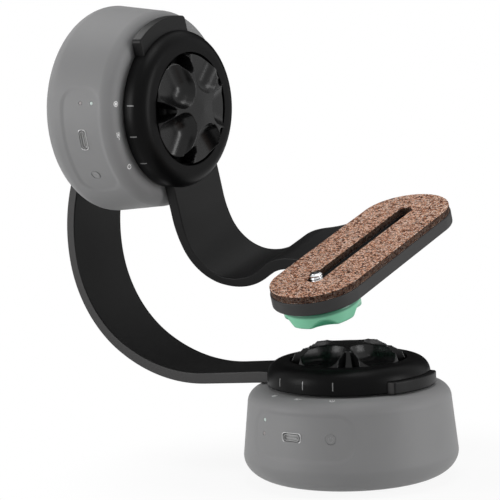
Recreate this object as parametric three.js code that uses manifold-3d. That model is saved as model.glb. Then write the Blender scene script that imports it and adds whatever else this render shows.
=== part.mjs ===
// Pan and tilt bracket: two round motor heads joined by two bent straps, with a cork faced camera plate.
// Millimetres, +Z up. The origin is the middle of the pan head's foot, on the pan axis.
// The tilt axis runs along +X, from the tilt head toward the pan axis. Every head is built in its own
// frame, foot at z = 0 and axis along +z, and an arm leaves its head along that frame's +x.

import * as THREE from 'three';
import { mergeVertices } from 'three/addons/utils/BufferGeometryUtils.js';
import Module from 'manifold-3d';

const wasm = await Module();
wasm.setup();

// Clearances
const seatGap = 0.3;
const overrun = 2;

// Motor head, heights from its own foot; a share of its radius gives every round inside it
const headRadius = 52;
const headTopHeight = 45;
const headTopFillet = 7.1;
const headFootFilletHeight = 11.8;
const headShoulderShare = 0.948;
const headFootShare = 0.698;
const shellWall = 2.4;
const shellFootHeight = 0.8;
const shellTopOpeningShare = 0.577;
const shellFootOpeningShare = 0.654;

// Foot plate, foot ring and threaded socket
const footPlateThickness = 3;
const footRingInnerShare = 0.404;
const footRingOuterShare = 0.538;
const footRingThickness = 1.1;
const socketBossRadius = 9;
const socketBossWall = 1.1;
const socketRadius = 5.4;
const socketBoreRadius = 4.2;
const socketLength = 10;

// Inside of a head
const boardThickness = 1.6;
const boardHeadroom = 3.6;
const portBoardWidthShare = 0.808;
const portBoardOffsetShare = 0.692;
const batteryInnerShare = 0.519;
const batteryOuterShare = 0.827;
const batteryHeadroom = 3.2;
const batteryArc = 160;
const chassisShare = 0.646;
const chassisFlangeThickness = 2.1;
const chassisDepth = 14.3;
const chassisWall = 2;
const chassisShaftHoleRadius = 5;
const motorShare = 0.404;
const motorBoreRadius = 3.4;
const bearingOuterShare = 0.456;
const bearingInnerShare = 0.327;
const bearingHeight = 6.6;

// Turntable, which carries the arm
const turntableLift = 0.5;
const turntableBossRadius = 9.7;
const turntableSpindleRadius = 3;
const turntableSpindleLift = 3.8;
const turntableHubLift = 1;

// Clamp disc over the arm
const discShare = 0.758;
const discSkirtLift = 1.2;
const discShoulderRadius = 7.5;
const discWellDepth = 4.4;
const discWellChamfer = 0.3;
const discFloorThickness = 1.7;

// Clamp knob with five finger troughs, its radius a share of the disc's and theirs a share of its own
const knobShare = 0.695;
const knobSideGap = 0.9;
const knobHeight = 12.1;
const knobRimHeight = 3.7;
const knobTopShare = 0.9;
const knobCrown = 2.1;
const knobEdgeRadius = 1.6;
const knobTroughs = 5;
const knobTroughShare = 0.4745;
const knobTroughStartShare = 0.7666;
const knobTroughFloor = 3.95;
const knobScrewRadius = 4;
const knobScrewDepth = 7.5;
const knobScrewCover = 3;

// Controls in a head's wall, at a share of its height
const controlsHeightShare = 0.618;
const portAzimuth = -90;
const portWidth = 8.9;
const portHeight = 3.2;
const portWall = 0.4;
const portDepth = 7.3;
const portTongueWidth = 6.6;
const portTongueHeight = 0.8;
const buttonAzimuth = -67;
const buttonRadius = 2.4;
const buttonFlangeRadius = 3.4;
const buttonFlangeThickness = 1.2;
const buttonTravel = 0.8;
const lampAzimuth = -111;
const lampRadius = 0.9;
const lampSpacing = 6.4;

// Straps
const strapWidth = 38;
const strapFootThickness = 5.8;
const panArmFootLip = 2.9;
const tiltArmFootLip = 7.1;
const strapBendStep = 7;
const panArmThickness = 5;
const tiltArmWaistThickness = 4.4;

// Pan arm, from the pan axis outward: straight, a slight dip, then the long turn up.
// Its runs and bends are shares of the tilt axis's height over the strap's foot.
const tiltAxisHeight = 177.5;
const panArmLead = 3.4;
const panArmDip = { share: 0.4658, turn: -5.3 };
const panArmRunShare = 0.2508;
const panArmBends = [
  { share: 0.6522, turn: 36.2 },
  { share: 0.4915, turn: 49.4 },
  { share: 0.6234, turn: 28.2 },
];
const panArmReturnShare = 0.1941;

// Tilt arm, from the tilt axis downward: straight, a deep hook, then level into the plate.
// Its runs and bends are shares of the tilt axis's height over the pan knob, which the plate swings past.
const tiltArmStraightShare = 0.4708;
const tiltArmBends = [
  { share: 0.4708, turn: 16.9 },
  { share: 0.2234, turn: 63 },
  { share: 0.2986, turn: 47.5 },
];
const tiltArmReturnShare = 0.2235;

// Camera plate
const plateLength = 128;
const plateWidth = 46;
const plateThickness = 6.2;
const plateShift = -5;
const slotMargin = 18.5;
const slotWidth = 7;
const corkThickness = 3.1;
const corkInset = 0.4;
const corkSlotExtra = 1.2;

// Camera screw with its five lobed knob
const cameraScrewRadius = 3.1;
const cameraScrewStand = 2.4;
const cameraScrewRest = 1.2;
const cameraWasherRadius = 9;
const cameraWasherThickness = 1;
const cameraKnobRadius = 18.6;
const cameraKnobHeight = 7.6;
const cameraKnobLobes = 5;
const cameraKnobScallopRadius = 12.5;
const cameraKnobScallopBite = 3.2;
const cameraKnobFloor = 2.4;

// Screw that holds the tilt head on the pan arm, reaching a share of the socket's depth
const armScrewHeadRadius = 9.5;
const armScrewHeadHeight = 4;
const armScrewHexRadius = 4.2;
const armScrewHexDepth = 2.4;
const armScrewReachShare = 0.7;

// Rest pose in degrees
const tiltRest = 16.5;
const tiltHeadRoll = 14;
const panKnobRest = 16;
const tiltKnobRest = 1.5;
const cameraKnobRest = 20;

// Smoothness
const roundSides = 36;
const smallSides = 24;
const tinySides = 12;
const troughSides = 16;
const filletSteps = 3;
const hiddenFilletSteps = 2;

// Sizes that follow from the ones above
const headShoulderRadius = headShoulderShare * headRadius;
const headFootRadius = headFootShare * headRadius;
const headShoulderHeight = headTopHeight - headTopFillet;
const shellTopOpeningRadius = shellTopOpeningShare * headRadius;
const shellFootOpeningRadius = shellFootOpeningShare * headRadius;
const footRingInnerRadius = footRingInnerShare * headRadius;
const footRingOuterRadius = footRingOuterShare * headRadius;
const bearingOuterRadius = bearingOuterShare * headRadius;
const bearingInnerRadius = bearingInnerShare * headRadius;
const portBoardOffset = portBoardOffsetShare * headRadius;
const controlsHeight = controlsHeightShare * headTopHeight;
const discRadius = discShare * headRadius;
const knobRadius = knobShare * discRadius;
const discWellRadius = knobRadius + knobSideGap;
const turntableTop = headTopHeight + turntableLift;
const strapBottom = turntableTop + seatGap;
const strapTop = strapBottom + strapFootThickness;
const panArmFootReach = discRadius + panArmFootLip;
const tiltArmFootReach = discRadius + tiltArmFootLip;
const discChannelTop = strapTop + seatGap;
const discFloorTop = discChannelTop + discFloorThickness;
const discFaceHeight = discFloorTop + discWellDepth;
const knobFoot = discFloorTop + seatGap;
const knobTop = knobFoot + knobHeight;
const knobScrewFoot = turntableTop - knobScrewDepth;
const shellTopUnderside = headTopHeight - shellWall;
const footPlateTop = shellFootHeight + footPlateThickness;
const socketBossHeight = shellFootHeight + seatGap + socketLength + socketBossWall;
const boardTop = footPlateTop + seatGap + boardThickness;
const chassisFlangeTop = shellTopUnderside - seatGap;
const chassisFlangeFoot = chassisFlangeTop - chassisFlangeThickness;
const chassisFloorHeight = chassisFlangeTop - chassisDepth;
const chassisFloorTop = chassisFloorHeight + chassisWall;
const chassisBoreRadius = bearingOuterRadius + seatGap;
const chassisOuterRadius = chassisBoreRadius + chassisWall;
const bearingFoot = chassisFlangeTop - bearingHeight;
const hubRadius = bearingInnerRadius - seatGap;
const slotLength = plateLength - 2 * slotMargin;
const armScrewRadius = socketBoreRadius - seatGap;
const armScrewReach = armScrewReachShare * socketLength;
const wallFoot = shellFootHeight + headFootFilletHeight;
const wallTaper = (headRadius - headShoulderRadius) / (headShoulderHeight - wallFoot);
const wallRadiusAt = (height) => headRadius - wallTaper * (height - wallFoot);

const radians = (degrees) => THREE.MathUtils.degToRad(degrees);

// Finishes
const finish = {
  greyShell: { color: 0x8f8f90, roughness: 0.55, metalness: 0 },
  blackMetal: { color: 0x2b2b2d, roughness: 0.45, metalness: 0.6 },
  blackPlastic: { color: 0x1d1d1f, roughness: 0.4, metalness: 0 },
  rubber: { color: 0x161616, roughness: 0.9, metalness: 0 },
  brass: { color: 0xb08a3e, roughness: 0.35, metalness: 1 },
  steel: { color: 0xc8cacd, roughness: 0.22, metalness: 1 },
  board: { color: 0x1f5a36, roughness: 0.6, metalness: 0 },
  battery: { color: 0x2a4f8f, roughness: 0.5, metalness: 0 },
  motor: { color: 0x9a9da1, roughness: 0.4, metalness: 0.9 },
  lamp: { color: 0xe8e8e4, roughness: 0.3, metalness: 0 },
  cork: { color: 0xb08a78, roughness: 0.95, metalness: 0 },
  green: { color: 0x7fd3ae, roughness: 0.4, metalness: 0 },
};

// Turns a closed geometry into a solid that can be cut and joined
function solid(geometry) {
  const bare = geometry.clone();
  bare.deleteAttribute('normal');
  bare.deleteAttribute('uv');
  const merged = mergeVertices(bare);
  return new wasm.Manifold(new wasm.Mesh({
    numProp: 3,
    vertProperties: new Float32Array(merged.attributes.position.array),
    triVerts: new Uint32Array(merged.index.array),
  }));
}

function geometryOf(body) {
  const mesh = body.getMesh();
  const geometry = new THREE.BufferGeometry();
  geometry.setAttribute('position', new THREE.BufferAttribute(new Float32Array(mesh.vertProperties), 3));
  geometry.setIndex(new THREE.BufferAttribute(new Uint32Array(mesh.triVerts), 1));
  geometry.computeVertexNormals();
  return geometry;
}

function cut(geometry, ...tools) {
  return geometryOf(tools.reduce((body, tool) => body.subtract(solid(tool)), solid(geometry)));
}

function join(...geometries) {
  const [first, ...rest] = geometries;
  return geometryOf(rest.reduce((body, other) => body.add(solid(other)), solid(first)));
}

function common(geometry, ...tools) {
  return geometryOf(tools.reduce((body, tool) => body.intersect(solid(tool)), solid(geometry)));
}

function piece(name, geometry, material) {
  const mesh = new THREE.Mesh(geometry, new THREE.MeshStandardMaterial(material));
  mesh.name = name;
  return mesh;
}

// Round solid about z from [radius, height] points, which close on themselves or start and end on the axis
function turned(points, sides = roundSides) {
  return new THREE.LatheGeometry(points.map(([radius, height]) => new THREE.Vector2(radius, height)), sides)
    .rotateX(radians(90));
}

function cylinder(radius, foot, top, sides = roundSides) {
  return new THREE.CylinderGeometry(radius, radius, top - foot, sides)
    .rotateX(radians(90))
    .translate(0, 0, (foot + top) / 2);
}

function ring(innerRadius, outerRadius, foot, top, sides = roundSides) {
  return turned([[innerRadius, foot], [outerRadius, foot], [outerRadius, top], [innerRadius, top],
    [innerRadius, foot]], sides);
}

function block(width, depth, height) {
  return new THREE.BoxGeometry(width, depth, height);
}

// Points of a quarter ellipse round a centre, from one angle to another
function quarter(centre, radii, fromDegrees, toDegrees, steps = filletSteps) {
  const points = [];
  for (let step = 0; step <= steps; step += 1) {
    const angle = radians(fromDegrees + (toDegrees - fromDegrees) * step / steps);
    points.push([centre[0] + radii[0] * Math.cos(angle), centre[1] + radii[1] * Math.sin(angle)]);
  }
  return points;
}

// Outline with round ends along the shape's y
function stadium(length, width) {
  const end = (length - width) / 2;
  const shape = new THREE.Shape();
  shape.absarc(0, end, width / 2, 0, Math.PI, false);
  shape.absarc(0, -end, width / 2, Math.PI, 2 * Math.PI, false);
  shape.closePath();
  return shape;
}

function extruded(shape, depth, curveSegments = roundSides / 4) {
  return new THREE.ExtrudeGeometry(shape, { depth, bevelEnabled: false, curveSegments });
}

// Lays a cylinder or other z solid along the outward direction at an azimuth and a height
function outward(geometry, azimuth, height) {
  return geometry.rotateY(radians(90)).rotateZ(radians(azimuth)).translate(0, 0, height);
}

// Head shell: one turned wall, open at the foot and at the turntable, with holes for the controls
function shellGeometry() {
  const filletCentre = [headFootRadius, wallFoot];
  const footRadial = headRadius - headFootRadius;
  const topCentre = [headShoulderRadius - headTopFillet, headShoulderHeight];
  const wall = turned([
    [shellFootOpeningRadius, shellFootHeight],
    ...quarter(filletCentre, [footRadial, headFootFilletHeight], -90, 0),
    ...quarter(topCentre, [headTopFillet, headTopFillet], 0, 90),
    [shellTopOpeningRadius, headTopHeight],
    [shellTopOpeningRadius, shellTopUnderside],
    ...quarter(topCentre, [headTopFillet - shellWall, headTopFillet - shellWall], 90, 0,
      hiddenFilletSteps),
    ...quarter(filletCentre, [footRadial - shellWall, headFootFilletHeight - footPlateThickness], 0, -90,
      hiddenFilletSteps),
    [shellFootOpeningRadius, footPlateTop],
    [shellFootOpeningRadius, shellFootHeight],
  ]);
  const port = outward(portOutline(portWidth + 2 * seatGap, portHeight + 2 * seatGap, headRadius)
    .translate(0, 0, headRadius / 2), portAzimuth, controlsHeight);
  const button = outward(cylinder(buttonRadius + seatGap, headRadius / 2, headRadius + overrun, smallSides),
    buttonAzimuth, controlsHeight);
  const lamps = lampHeights().map((height) => outward(
    cylinder(lampRadius + seatGap, headRadius / 2, headRadius + overrun, tinySides), lampAzimuth, height));
  return cut(wall, port, button, ...lamps);
}

function lampHeights() {
  return [controlsHeight + lampSpacing, controlsHeight];
}

// Racetrack prism whose long way ends up level in the wall once it is turned outward
function portOutline(width, height, depth) {
  return extruded(stadium(width, height), depth, tinySides / 2);
}

function footPlateGeometry() {
  const radius = shellFootOpeningRadius - seatGap;
  const boreRadius = socketRadius + seatGap;
  const grooveTop = footRingThickness + seatGap;
  return turned([
    [boreRadius, shellFootHeight],
    [footRingInnerRadius - seatGap, shellFootHeight],
    [footRingInnerRadius - seatGap, grooveTop],
    [footRingOuterRadius + seatGap, grooveTop],
    [footRingOuterRadius + seatGap, shellFootHeight],
    [radius, shellFootHeight],
    [radius, footPlateTop],
    [socketBossRadius, footPlateTop],
    [socketBossRadius, socketBossHeight],
    [boreRadius, socketBossHeight],
    [boreRadius, shellFootHeight],
  ], smallSides);
}

function batteryGeometry() {
  const shape = new THREE.Shape();
  const from = radians(90 - batteryArc / 2);
  const to = radians(90 + batteryArc / 2);
  const foot = boardTop + seatGap;
  shape.absarc(0, 0, batteryOuterShare * headRadius, from, to, false);
  shape.absarc(0, 0, batteryInnerShare * headRadius, to, from, true);
  shape.closePath();
  return extruded(shape, chassisFlangeFoot - batteryHeadroom - foot).translate(0, 0, foot);
}

function mainBoardGeometry() {
  return ring(socketBossRadius + seatGap, shellFootOpeningRadius - 2 * seatGap, footPlateTop + seatGap,
    boardTop, smallSides);
}

// Upright board behind the wall, which carries the port, the lamps and the button's switch
function portBoardGeometry() {
  const foot = boardTop + seatGap;
  const top = shellTopUnderside - boardHeadroom;
  return block(portBoardWidthShare * headRadius, boardThickness, top - foot)
    .translate(0, -portBoardOffset - boardThickness / 2, (foot + top) / 2);
}

function portGeometry() {
  const mouth = wallRadiusAt(controlsHeight) - seatGap;
  const back = portBoardOffset + boardThickness + seatGap;
  const body = portOutline(portWidth, portHeight, mouth - back).translate(0, 0, back);
  const hollow = portOutline(portWidth - 2 * portWall, portHeight - 2 * portWall, portDepth + overrun)
    .translate(0, 0, mouth - portDepth);
  const tongue = block(portTongueHeight, portTongueWidth, portDepth)
    .translate(0, 0, mouth - portDepth / 2 - portDepth / 4);
  return outward(join(cut(body, hollow), tongue), portAzimuth, controlsHeight);
}

function buttonGeometry() {
  const face = wallRadiusAt(controlsHeight) - seatGap;
  const flangeTop = wallRadiusAt(controlsHeight) - shellWall - 2 * seatGap;
  const board = (portBoardOffset + boardThickness) / Math.cos(radians(buttonAzimuth - portAzimuth));
  const stemFoot = board + buttonTravel + buttonRadius + seatGap;
  return outward(turned([
    [0, stemFoot],
    [buttonRadius / 2, stemFoot],
    [buttonRadius / 2, flangeTop - buttonFlangeThickness],
    [buttonFlangeRadius, flangeTop - buttonFlangeThickness],
    [buttonFlangeRadius, flangeTop],
    [buttonRadius, flangeTop],
    [buttonRadius, face],
    [0, face],
  ], tinySides), buttonAzimuth, controlsHeight);
}

function lampGeometry(height) {
  const board = (portBoardOffset + boardThickness) / Math.cos(radians(lampAzimuth - portAzimuth));
  return outward(cylinder(lampRadius, board + lampRadius, wallRadiusAt(height), tinySides),
    lampAzimuth, height);
}

function chassisGeometry() {
  const seatRadius = bearingOuterRadius - chassisWall;
  const flangeRadius = chassisShare * headRadius;
  return turned([
    [chassisShaftHoleRadius, chassisFloorHeight],
    [chassisOuterRadius, chassisFloorHeight],
    [chassisOuterRadius, chassisFlangeFoot],
    [flangeRadius, chassisFlangeFoot],
    [flangeRadius, chassisFlangeTop],
    [chassisBoreRadius, chassisFlangeTop],
    [chassisBoreRadius, bearingFoot - seatGap],
    [seatRadius, bearingFoot - seatGap],
    [seatRadius, chassisFloorTop],
    [chassisShaftHoleRadius, chassisFloorTop],
    [chassisShaftHoleRadius, chassisFloorHeight],
  ], smallSides);
}

function motorGeometry() {
  return ring(motorBoreRadius, motorShare * headRadius, socketBossHeight + seatGap,
    chassisFloorHeight - seatGap, smallSides);
}

function turntableGeometry() {
  const flangeRadius = shellTopOpeningRadius - seatGap;
  const flangeFoot = chassisFlangeTop + seatGap;
  const boreRadius = knobScrewRadius + seatGap;
  const boreFoot = knobScrewFoot - seatGap;
  const spindleFoot = socketBossHeight + turntableSpindleLift;
  const hubFoot = chassisFloorTop + turntableHubLift;
  return turned([
    [0, spindleFoot],
    [turntableSpindleRadius, spindleFoot],
    [turntableSpindleRadius, hubFoot],
    [hubRadius, hubFoot],
    [hubRadius, flangeFoot],
    [flangeRadius, flangeFoot],
    [flangeRadius, turntableTop],
    [turntableBossRadius, turntableTop],
    [turntableBossRadius, strapTop - seatGap],
    [boreRadius, strapTop - seatGap],
    [boreRadius, boreFoot],
    [0, boreFoot],
  ], smallSides);
}

// Clamp disc: a turned cap with a well for the knob, and a channel across its foot for the strap
function discGeometry() {
  const skirtFoot = headTopHeight + discSkirtLift;
  const shoulderCentre = [discRadius - discShoulderRadius, discFaceHeight - discShoulderRadius];
  const holeRadius = knobScrewRadius + 2 * seatGap;
  const cap = turned([
    [turntableBossRadius + seatGap, skirtFoot],
    [discRadius, skirtFoot],
    ...quarter(shoulderCentre, [discShoulderRadius, discShoulderRadius], 0, 90),
    [discWellRadius + discWellChamfer, discFaceHeight],
    [discWellRadius, discFaceHeight - discWellChamfer],
    [discWellRadius, discFloorTop],
    [holeRadius, discFloorTop],
    [holeRadius, discChannelTop],
    [turntableBossRadius + seatGap, discChannelTop],
    [turntableBossRadius + seatGap, skirtFoot],
  ]);
  const channelFoot = skirtFoot - overrun;
  const channel = block(2 * (discRadius + overrun), strapWidth + 2 * seatGap, discChannelTop - channelFoot)
    .translate(0, 0, (discChannelTop + channelFoot) / 2);
  return cut(cap, channel);
}

// Clamp knob: a crowned round that narrows upward, with five round bottomed troughs that run out
// through its rim
function knobGeometry() {
  const edgeRadius = knobTopShare * knobRadius - knobEdgeRadius;
  const edgeCentre = [edgeRadius, knobTop - knobCrown - knobEdgeRadius];
  const boreTop = knobTop - knobScrewCover;
  const boreRadius = knobScrewRadius + seatGap;
  const round = turned([
    [boreRadius, knobFoot],
    [knobRadius, knobFoot],
    [knobRadius, knobFoot + knobRimHeight],
    ...quarter(edgeCentre, [knobEdgeRadius, knobEdgeRadius], 0, 90),
    [0, knobTop],
    [0, boreTop],
    [boreRadius, boreTop],
    [boreRadius, knobFoot],
  ]);
  const troughRadius = knobTroughShare * knobRadius;
  const troughStart = knobTroughStartShare * knobRadius;
  const troughHeight = knobFoot + knobTroughFloor + troughRadius;
  const troughs = [];
  for (let index = 0; index < knobTroughs; index += 1) {
    const azimuth = 360 / knobTroughs * index;
    troughs.push(outward(cylinder(troughRadius, troughStart, knobRadius + overrun, troughSides),
      azimuth, troughHeight));
    troughs.push(new THREE.SphereGeometry(troughRadius, troughSides, troughSides / 2)
      .rotateY(radians(90))
      .translate(troughStart, 0, troughHeight)
      .rotateZ(radians(azimuth)));
  }
  return cut(round, ...troughs);
}

function knobScrewGeometry() {
  return cylinder(knobScrewRadius, knobScrewFoot, knobTop - knobScrewCover - seatGap, smallSides);
}

// Walks a bent centre line: straight runs and arcs, each a step of points with a heading in degrees
function bentLine(start, heading, moves) {
  const stations = [{ x: start[0], y: start[1], heading, travel: 0 }];
  for (const move of moves) {
    const steps = move.turn ? Math.max(1, Math.ceil(Math.abs(move.turn) / strapBendStep)) : 1;
    const length = move.turn ? move.radius * Math.abs(radians(move.turn)) : move.run;
    const turn = move.turn ?? 0;
    const chord = turn
      ? 2 * move.radius * Math.sin(Math.abs(radians(turn)) / steps / 2)
      : length;
    for (let step = 0; step < steps; step += 1) {
      const last = stations[stations.length - 1];
      const middle = radians(last.heading + turn / steps / 2);
      stations.push({
        x: last.x + chord * Math.cos(middle),
        y: last.y + chord * Math.sin(middle),
        heading: last.heading + turn / steps,
        travel: last.travel + length / steps,
      });
    }
  }
  return stations;
}

// Outline of a strap's edge: the centre line offset both ways by half of its thickness there
function strapShape(stations, thicknessAt) {
  const side = (sign) => stations.map((station) => {
    const half = sign * thicknessAt(station.travel) / 2;
    const across = radians(station.heading + 90);
    return new THREE.Vector2(station.x + half * Math.cos(across), station.y + half * Math.sin(across));
  });
  return new THREE.Shape([...side(1), ...side(-1).reverse()]);
}

// Stands a shape drawn in x and height upright, as wide as the strap about y = 0
function upright(shape) {
  return extruded(shape, strapWidth).translate(0, 0, -strapWidth / 2).rotateX(radians(90));
}

function blend(from, to, share) {
  return from + (to - from) * Math.min(1, Math.max(0, share));
}

// Plan of a strap seen along its head's axis, with the foot's end round about that axis
function strapPlan(footReach, reach) {
  const halfWidth = strapWidth / 2;
  const halfAngle = Math.asin(halfWidth / footReach);
  const plan = new THREE.Shape();
  plan.moveTo(reach, -halfWidth);
  plan.lineTo(reach, halfWidth);
  plan.absarc(0, 0, footReach, Math.PI - halfAngle, Math.PI + halfAngle, false);
  plan.closePath();
  return plan;
}

const strapFootCentre = strapBottom + strapFootThickness / 2;
const turnSum = (bends) => bends.reduce((sum, bend) => sum + bend.turn, 0);
const sized = (bends, size) => bends.map((bend) => ({ radius: bend.share * size, turn: bend.turn }));
const panArmRise = tiltAxisHeight - strapFootCentre;
const panArmRun = panArmRunShare * panArmRise;
const panArmStraight = discRadius - panArmLead;
const [panArmDipBend, ...panArmTurnBends] = sized([
  panArmDip,
  ...panArmBends,
  { share: panArmReturnShare, turn: 90 - turnSum([panArmDip, ...panArmBends]) },
], panArmRise);
const panArmCurve = bentLine([-panArmFootReach, strapFootCentre], 0, [
  { run: panArmFootReach + panArmStraight },
  panArmDipBend,
  { run: panArmRun },
  ...panArmTurnBends,
]);
const panArmCurveEnd = panArmCurve[panArmCurve.length - 1];
const panArmCrown = tiltAxisHeight + strapWidth / 2;
const tiltHeadReach = panArmCurveEnd.x - panArmThickness / 2 - seatGap;

function panArmGeometry() {
  const stations = [...panArmCurve, {
    x: panArmCurveEnd.x,
    y: panArmCrown,
    heading: 90,
    travel: panArmCurveEnd.travel + panArmCrown - panArmCurveEnd.y,
  }];
  const footTravel = panArmFootReach + panArmStraight;
  const thinTravel = footTravel + panArmRun + panArmTurnBends[0].radius;
  const thicknessAt = (travel) => blend(strapFootThickness, panArmThickness,
    (travel - footTravel) / (thinTravel - footTravel));
  const strap = upright(strapShape(stations, thicknessAt));
  const plan = extruded(strapPlan(panArmFootReach, panArmCurveEnd.x + headRadius), panArmCrown + overrun);
  const crown = new THREE.Shape();
  crown.moveTo(-strapWidth / 2 - overrun, -overrun);
  crown.lineTo(strapWidth / 2 + overrun, -overrun);
  crown.lineTo(strapWidth / 2 + overrun, tiltAxisHeight);
  crown.lineTo(strapWidth / 2, tiltAxisHeight);
  crown.absarc(0, tiltAxisHeight, strapWidth / 2, 0, Math.PI, false);
  crown.lineTo(-strapWidth / 2 - overrun, tiltAxisHeight);
  crown.closePath();
  const front = extruded(crown, 2 * (panArmCurveEnd.x + headRadius))
    .translate(0, 0, -panArmCurveEnd.x - headRadius)
    .rotateX(radians(90))
    .rotateZ(radians(90));
  const screwHole = cylinder(armScrewRadius + seatGap, -headRadius, headRadius, smallSides)
    .rotateY(radians(90))
    .translate(panArmCurveEnd.x, 0, tiltAxisHeight);
  return cut(common(strap, plan, front), bossHole(), screwHole);
}

function bossHole() {
  return cylinder(turntableBossRadius + seatGap, strapBottom - overrun, strapTop + overrun, smallSides);
}

// The tilt arm lies in its head's frame, with +x down the arm and +z out along the tilt axis
const tiltArmDrop = tiltAxisHeight - knobTop;
const tiltArmStraight = tiltArmStraightShare * tiltArmDrop;
const tiltArmCurve = bentLine([-tiltArmFootReach, strapFootCentre], 0, [
  { run: tiltArmFootReach + tiltArmStraight },
  ...sized([
    ...tiltArmBends,
    { share: tiltArmReturnShare, turn: 90 - turnSum(tiltArmBends) },
  ], tiltArmDrop),
]);
const tiltArmCurveEnd = tiltArmCurve[tiltArmCurve.length - 1];
const plateReach = tiltHeadReach;
const plateUpper = tiltArmCurveEnd.x - plateThickness / 2;
const plateLower = tiltArmCurveEnd.x + plateThickness / 2;
const corkFace = plateUpper - seatGap - corkThickness;

// Places a z solid on the camera plate: its z runs from the cork side toward the knob side
function onPlate(geometry, shift = 0) {
  return geometry.rotateY(radians(90)).translate(0, plateShift + shift, plateReach);
}

function tiltArmGeometry() {
  const stations = [...tiltArmCurve, {
    x: tiltArmCurveEnd.x,
    y: plateReach,
    heading: 90,
    travel: tiltArmCurveEnd.travel + plateReach - tiltArmCurveEnd.y,
  }];
  const footTravel = tiltArmFootReach + tiltArmStraight;
  const waistTravel = (footTravel + tiltArmCurveEnd.travel) / 2;
  const thicknessAt = (travel) => (travel < waistTravel
    ? blend(strapFootThickness, tiltArmWaistThickness, (travel - footTravel) / (waistTravel - footTravel))
    : blend(tiltArmWaistThickness, plateThickness,
      (travel - waistTravel) / (tiltArmCurveEnd.travel - waistTravel)));
  const strap = upright(strapShape(stations, thicknessAt));
  const plan = extruded(strapPlan(tiltArmFootReach, tiltArmCurveEnd.x + headRadius), plateReach + overrun);
  const plate = onPlate(extruded(stadium(plateLength, plateWidth), plateThickness)
    .translate(0, 0, plateUpper));
  const slot = onPlate(extruded(stadium(slotLength, slotWidth), plateThickness + 2 * overrun, tinySides / 2)
    .translate(0, 0, plateUpper - overrun));
  return cut(join(common(strap, plan), plate), slot, bossHole());
}

function corkGeometry() {
  const pad = extruded(stadium(plateLength - 2 * corkInset, plateWidth - 2 * corkInset), corkThickness);
  const slot = extruded(stadium(slotLength + corkSlotExtra, slotWidth + corkSlotExtra),
    corkThickness + 2 * overrun, tinySides / 2).translate(0, 0, -overrun);
  return onPlate(cut(pad, slot).translate(0, 0, corkFace));
}

// Camera screw: it stands in the slot's near end, and its washer slides along under the plate
const washerTop = plateLower + seatGap;
const cameraKnobTop = washerTop + cameraWasherThickness + seatGap;
const cameraKnobFoot = cameraKnobTop + cameraKnobHeight;
const screwBoreFoot = cameraKnobFoot - cameraKnobFloor;
const screwPlace = -slotLength / 2 + slotWidth / 2 + cameraScrewRest;

function cameraWasherGeometry() {
  return ring(cameraScrewRadius + seatGap, cameraWasherRadius, washerTop, washerTop + cameraWasherThickness,
    smallSides);
}

function cameraScrewGeometry() {
  return cylinder(cameraScrewRadius, corkFace - cameraScrewStand, screwBoreFoot - seatGap, smallSides);
}

function cameraKnobGeometry() {
  const edge = [cameraKnobRadius - knobEdgeRadius, cameraKnobFoot - knobEdgeRadius];
  const round = turned([
    [0, screwBoreFoot],
    [cameraScrewRadius + seatGap, screwBoreFoot],
    [cameraScrewRadius + seatGap, cameraKnobTop],
    [cameraKnobRadius, cameraKnobTop],
    ...quarter(edge, [knobEdgeRadius, knobEdgeRadius], 0, 90, hiddenFilletSteps),
    [0, cameraKnobFoot],
  ]);
  const scallops = [];
  const reach = cameraKnobRadius + cameraKnobScallopRadius - cameraKnobScallopBite;
  for (let index = 0; index < cameraKnobLobes; index += 1) {
    scallops.push(cylinder(cameraKnobScallopRadius, cameraKnobTop - overrun, cameraKnobFoot + overrun,
      smallSides)
      .translate(reach, 0, 0)
      .rotateZ(radians(cameraKnobRest + 360 / cameraKnobLobes * index)));
  }
  return cut(round, ...scallops);
}

function armScrewGeometry() {
  const headFoot = panArmThickness / 2 + seatGap;
  const shape = turned([
    [0, -panArmThickness / 2 - seatGap - shellFootHeight - armScrewReach],
    [armScrewRadius, -panArmThickness / 2 - seatGap - shellFootHeight - armScrewReach],
    [armScrewRadius, headFoot],
    [armScrewHeadRadius, headFoot],
    [armScrewHeadRadius, headFoot + armScrewHeadHeight],
    [0, headFoot + armScrewHeadHeight],
  ], smallSides);
  const hex = new THREE.CylinderGeometry(armScrewHexRadius, armScrewHexRadius, armScrewHexDepth + overrun, 6)
    .rotateX(radians(90))
    .translate(0, 0, headFoot + armScrewHeadHeight + (overrun - armScrewHexDepth) / 2);
  return cut(shape, hex);
}

// The still pieces of a head
function headBase(name) {
  const group = new THREE.Group();
  const socket = ring(socketBoreRadius, socketRadius, shellFootHeight + seatGap,
    shellFootHeight + seatGap + socketLength, smallSides);
  const [upperLamp, lowerLamp] = lampHeights();
  group.add(
    piece(`${name}_shell`, shellGeometry(), finish.greyShell),
    piece(`${name}_foot_plate`, footPlateGeometry(), finish.blackPlastic),
    piece(`${name}_foot_ring`, ring(footRingInnerRadius, footRingOuterRadius, 0, footRingThickness,
      smallSides), finish.rubber),
    piece(`${name}_tripod_socket`, socket, finish.brass),
    piece(`${name}_main_board`, mainBoardGeometry(), finish.board),
    piece(`${name}_port_board`, portBoardGeometry(), finish.board),
    piece(`${name}_battery`, batteryGeometry(), finish.battery),
    piece(`${name}_motor`, motorGeometry(), finish.motor),
    piece(`${name}_chassis`, chassisGeometry(), finish.blackMetal),
    piece(`${name}_bearing`, ring(bearingInnerRadius, bearingOuterRadius, bearingFoot, chassisFlangeTop,
      smallSides), finish.steel),
    piece(`${name}_usb_port`, portGeometry(), finish.steel),
    piece(`${name}_upper_lamp`, lampGeometry(upperLamp), finish.lamp),
    piece(`${name}_lower_lamp`, lampGeometry(lowerLamp), finish.lamp),
    piece(`${name}_power_button`, buttonGeometry(), finish.greyShell),
  );
  return group;
}

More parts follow.
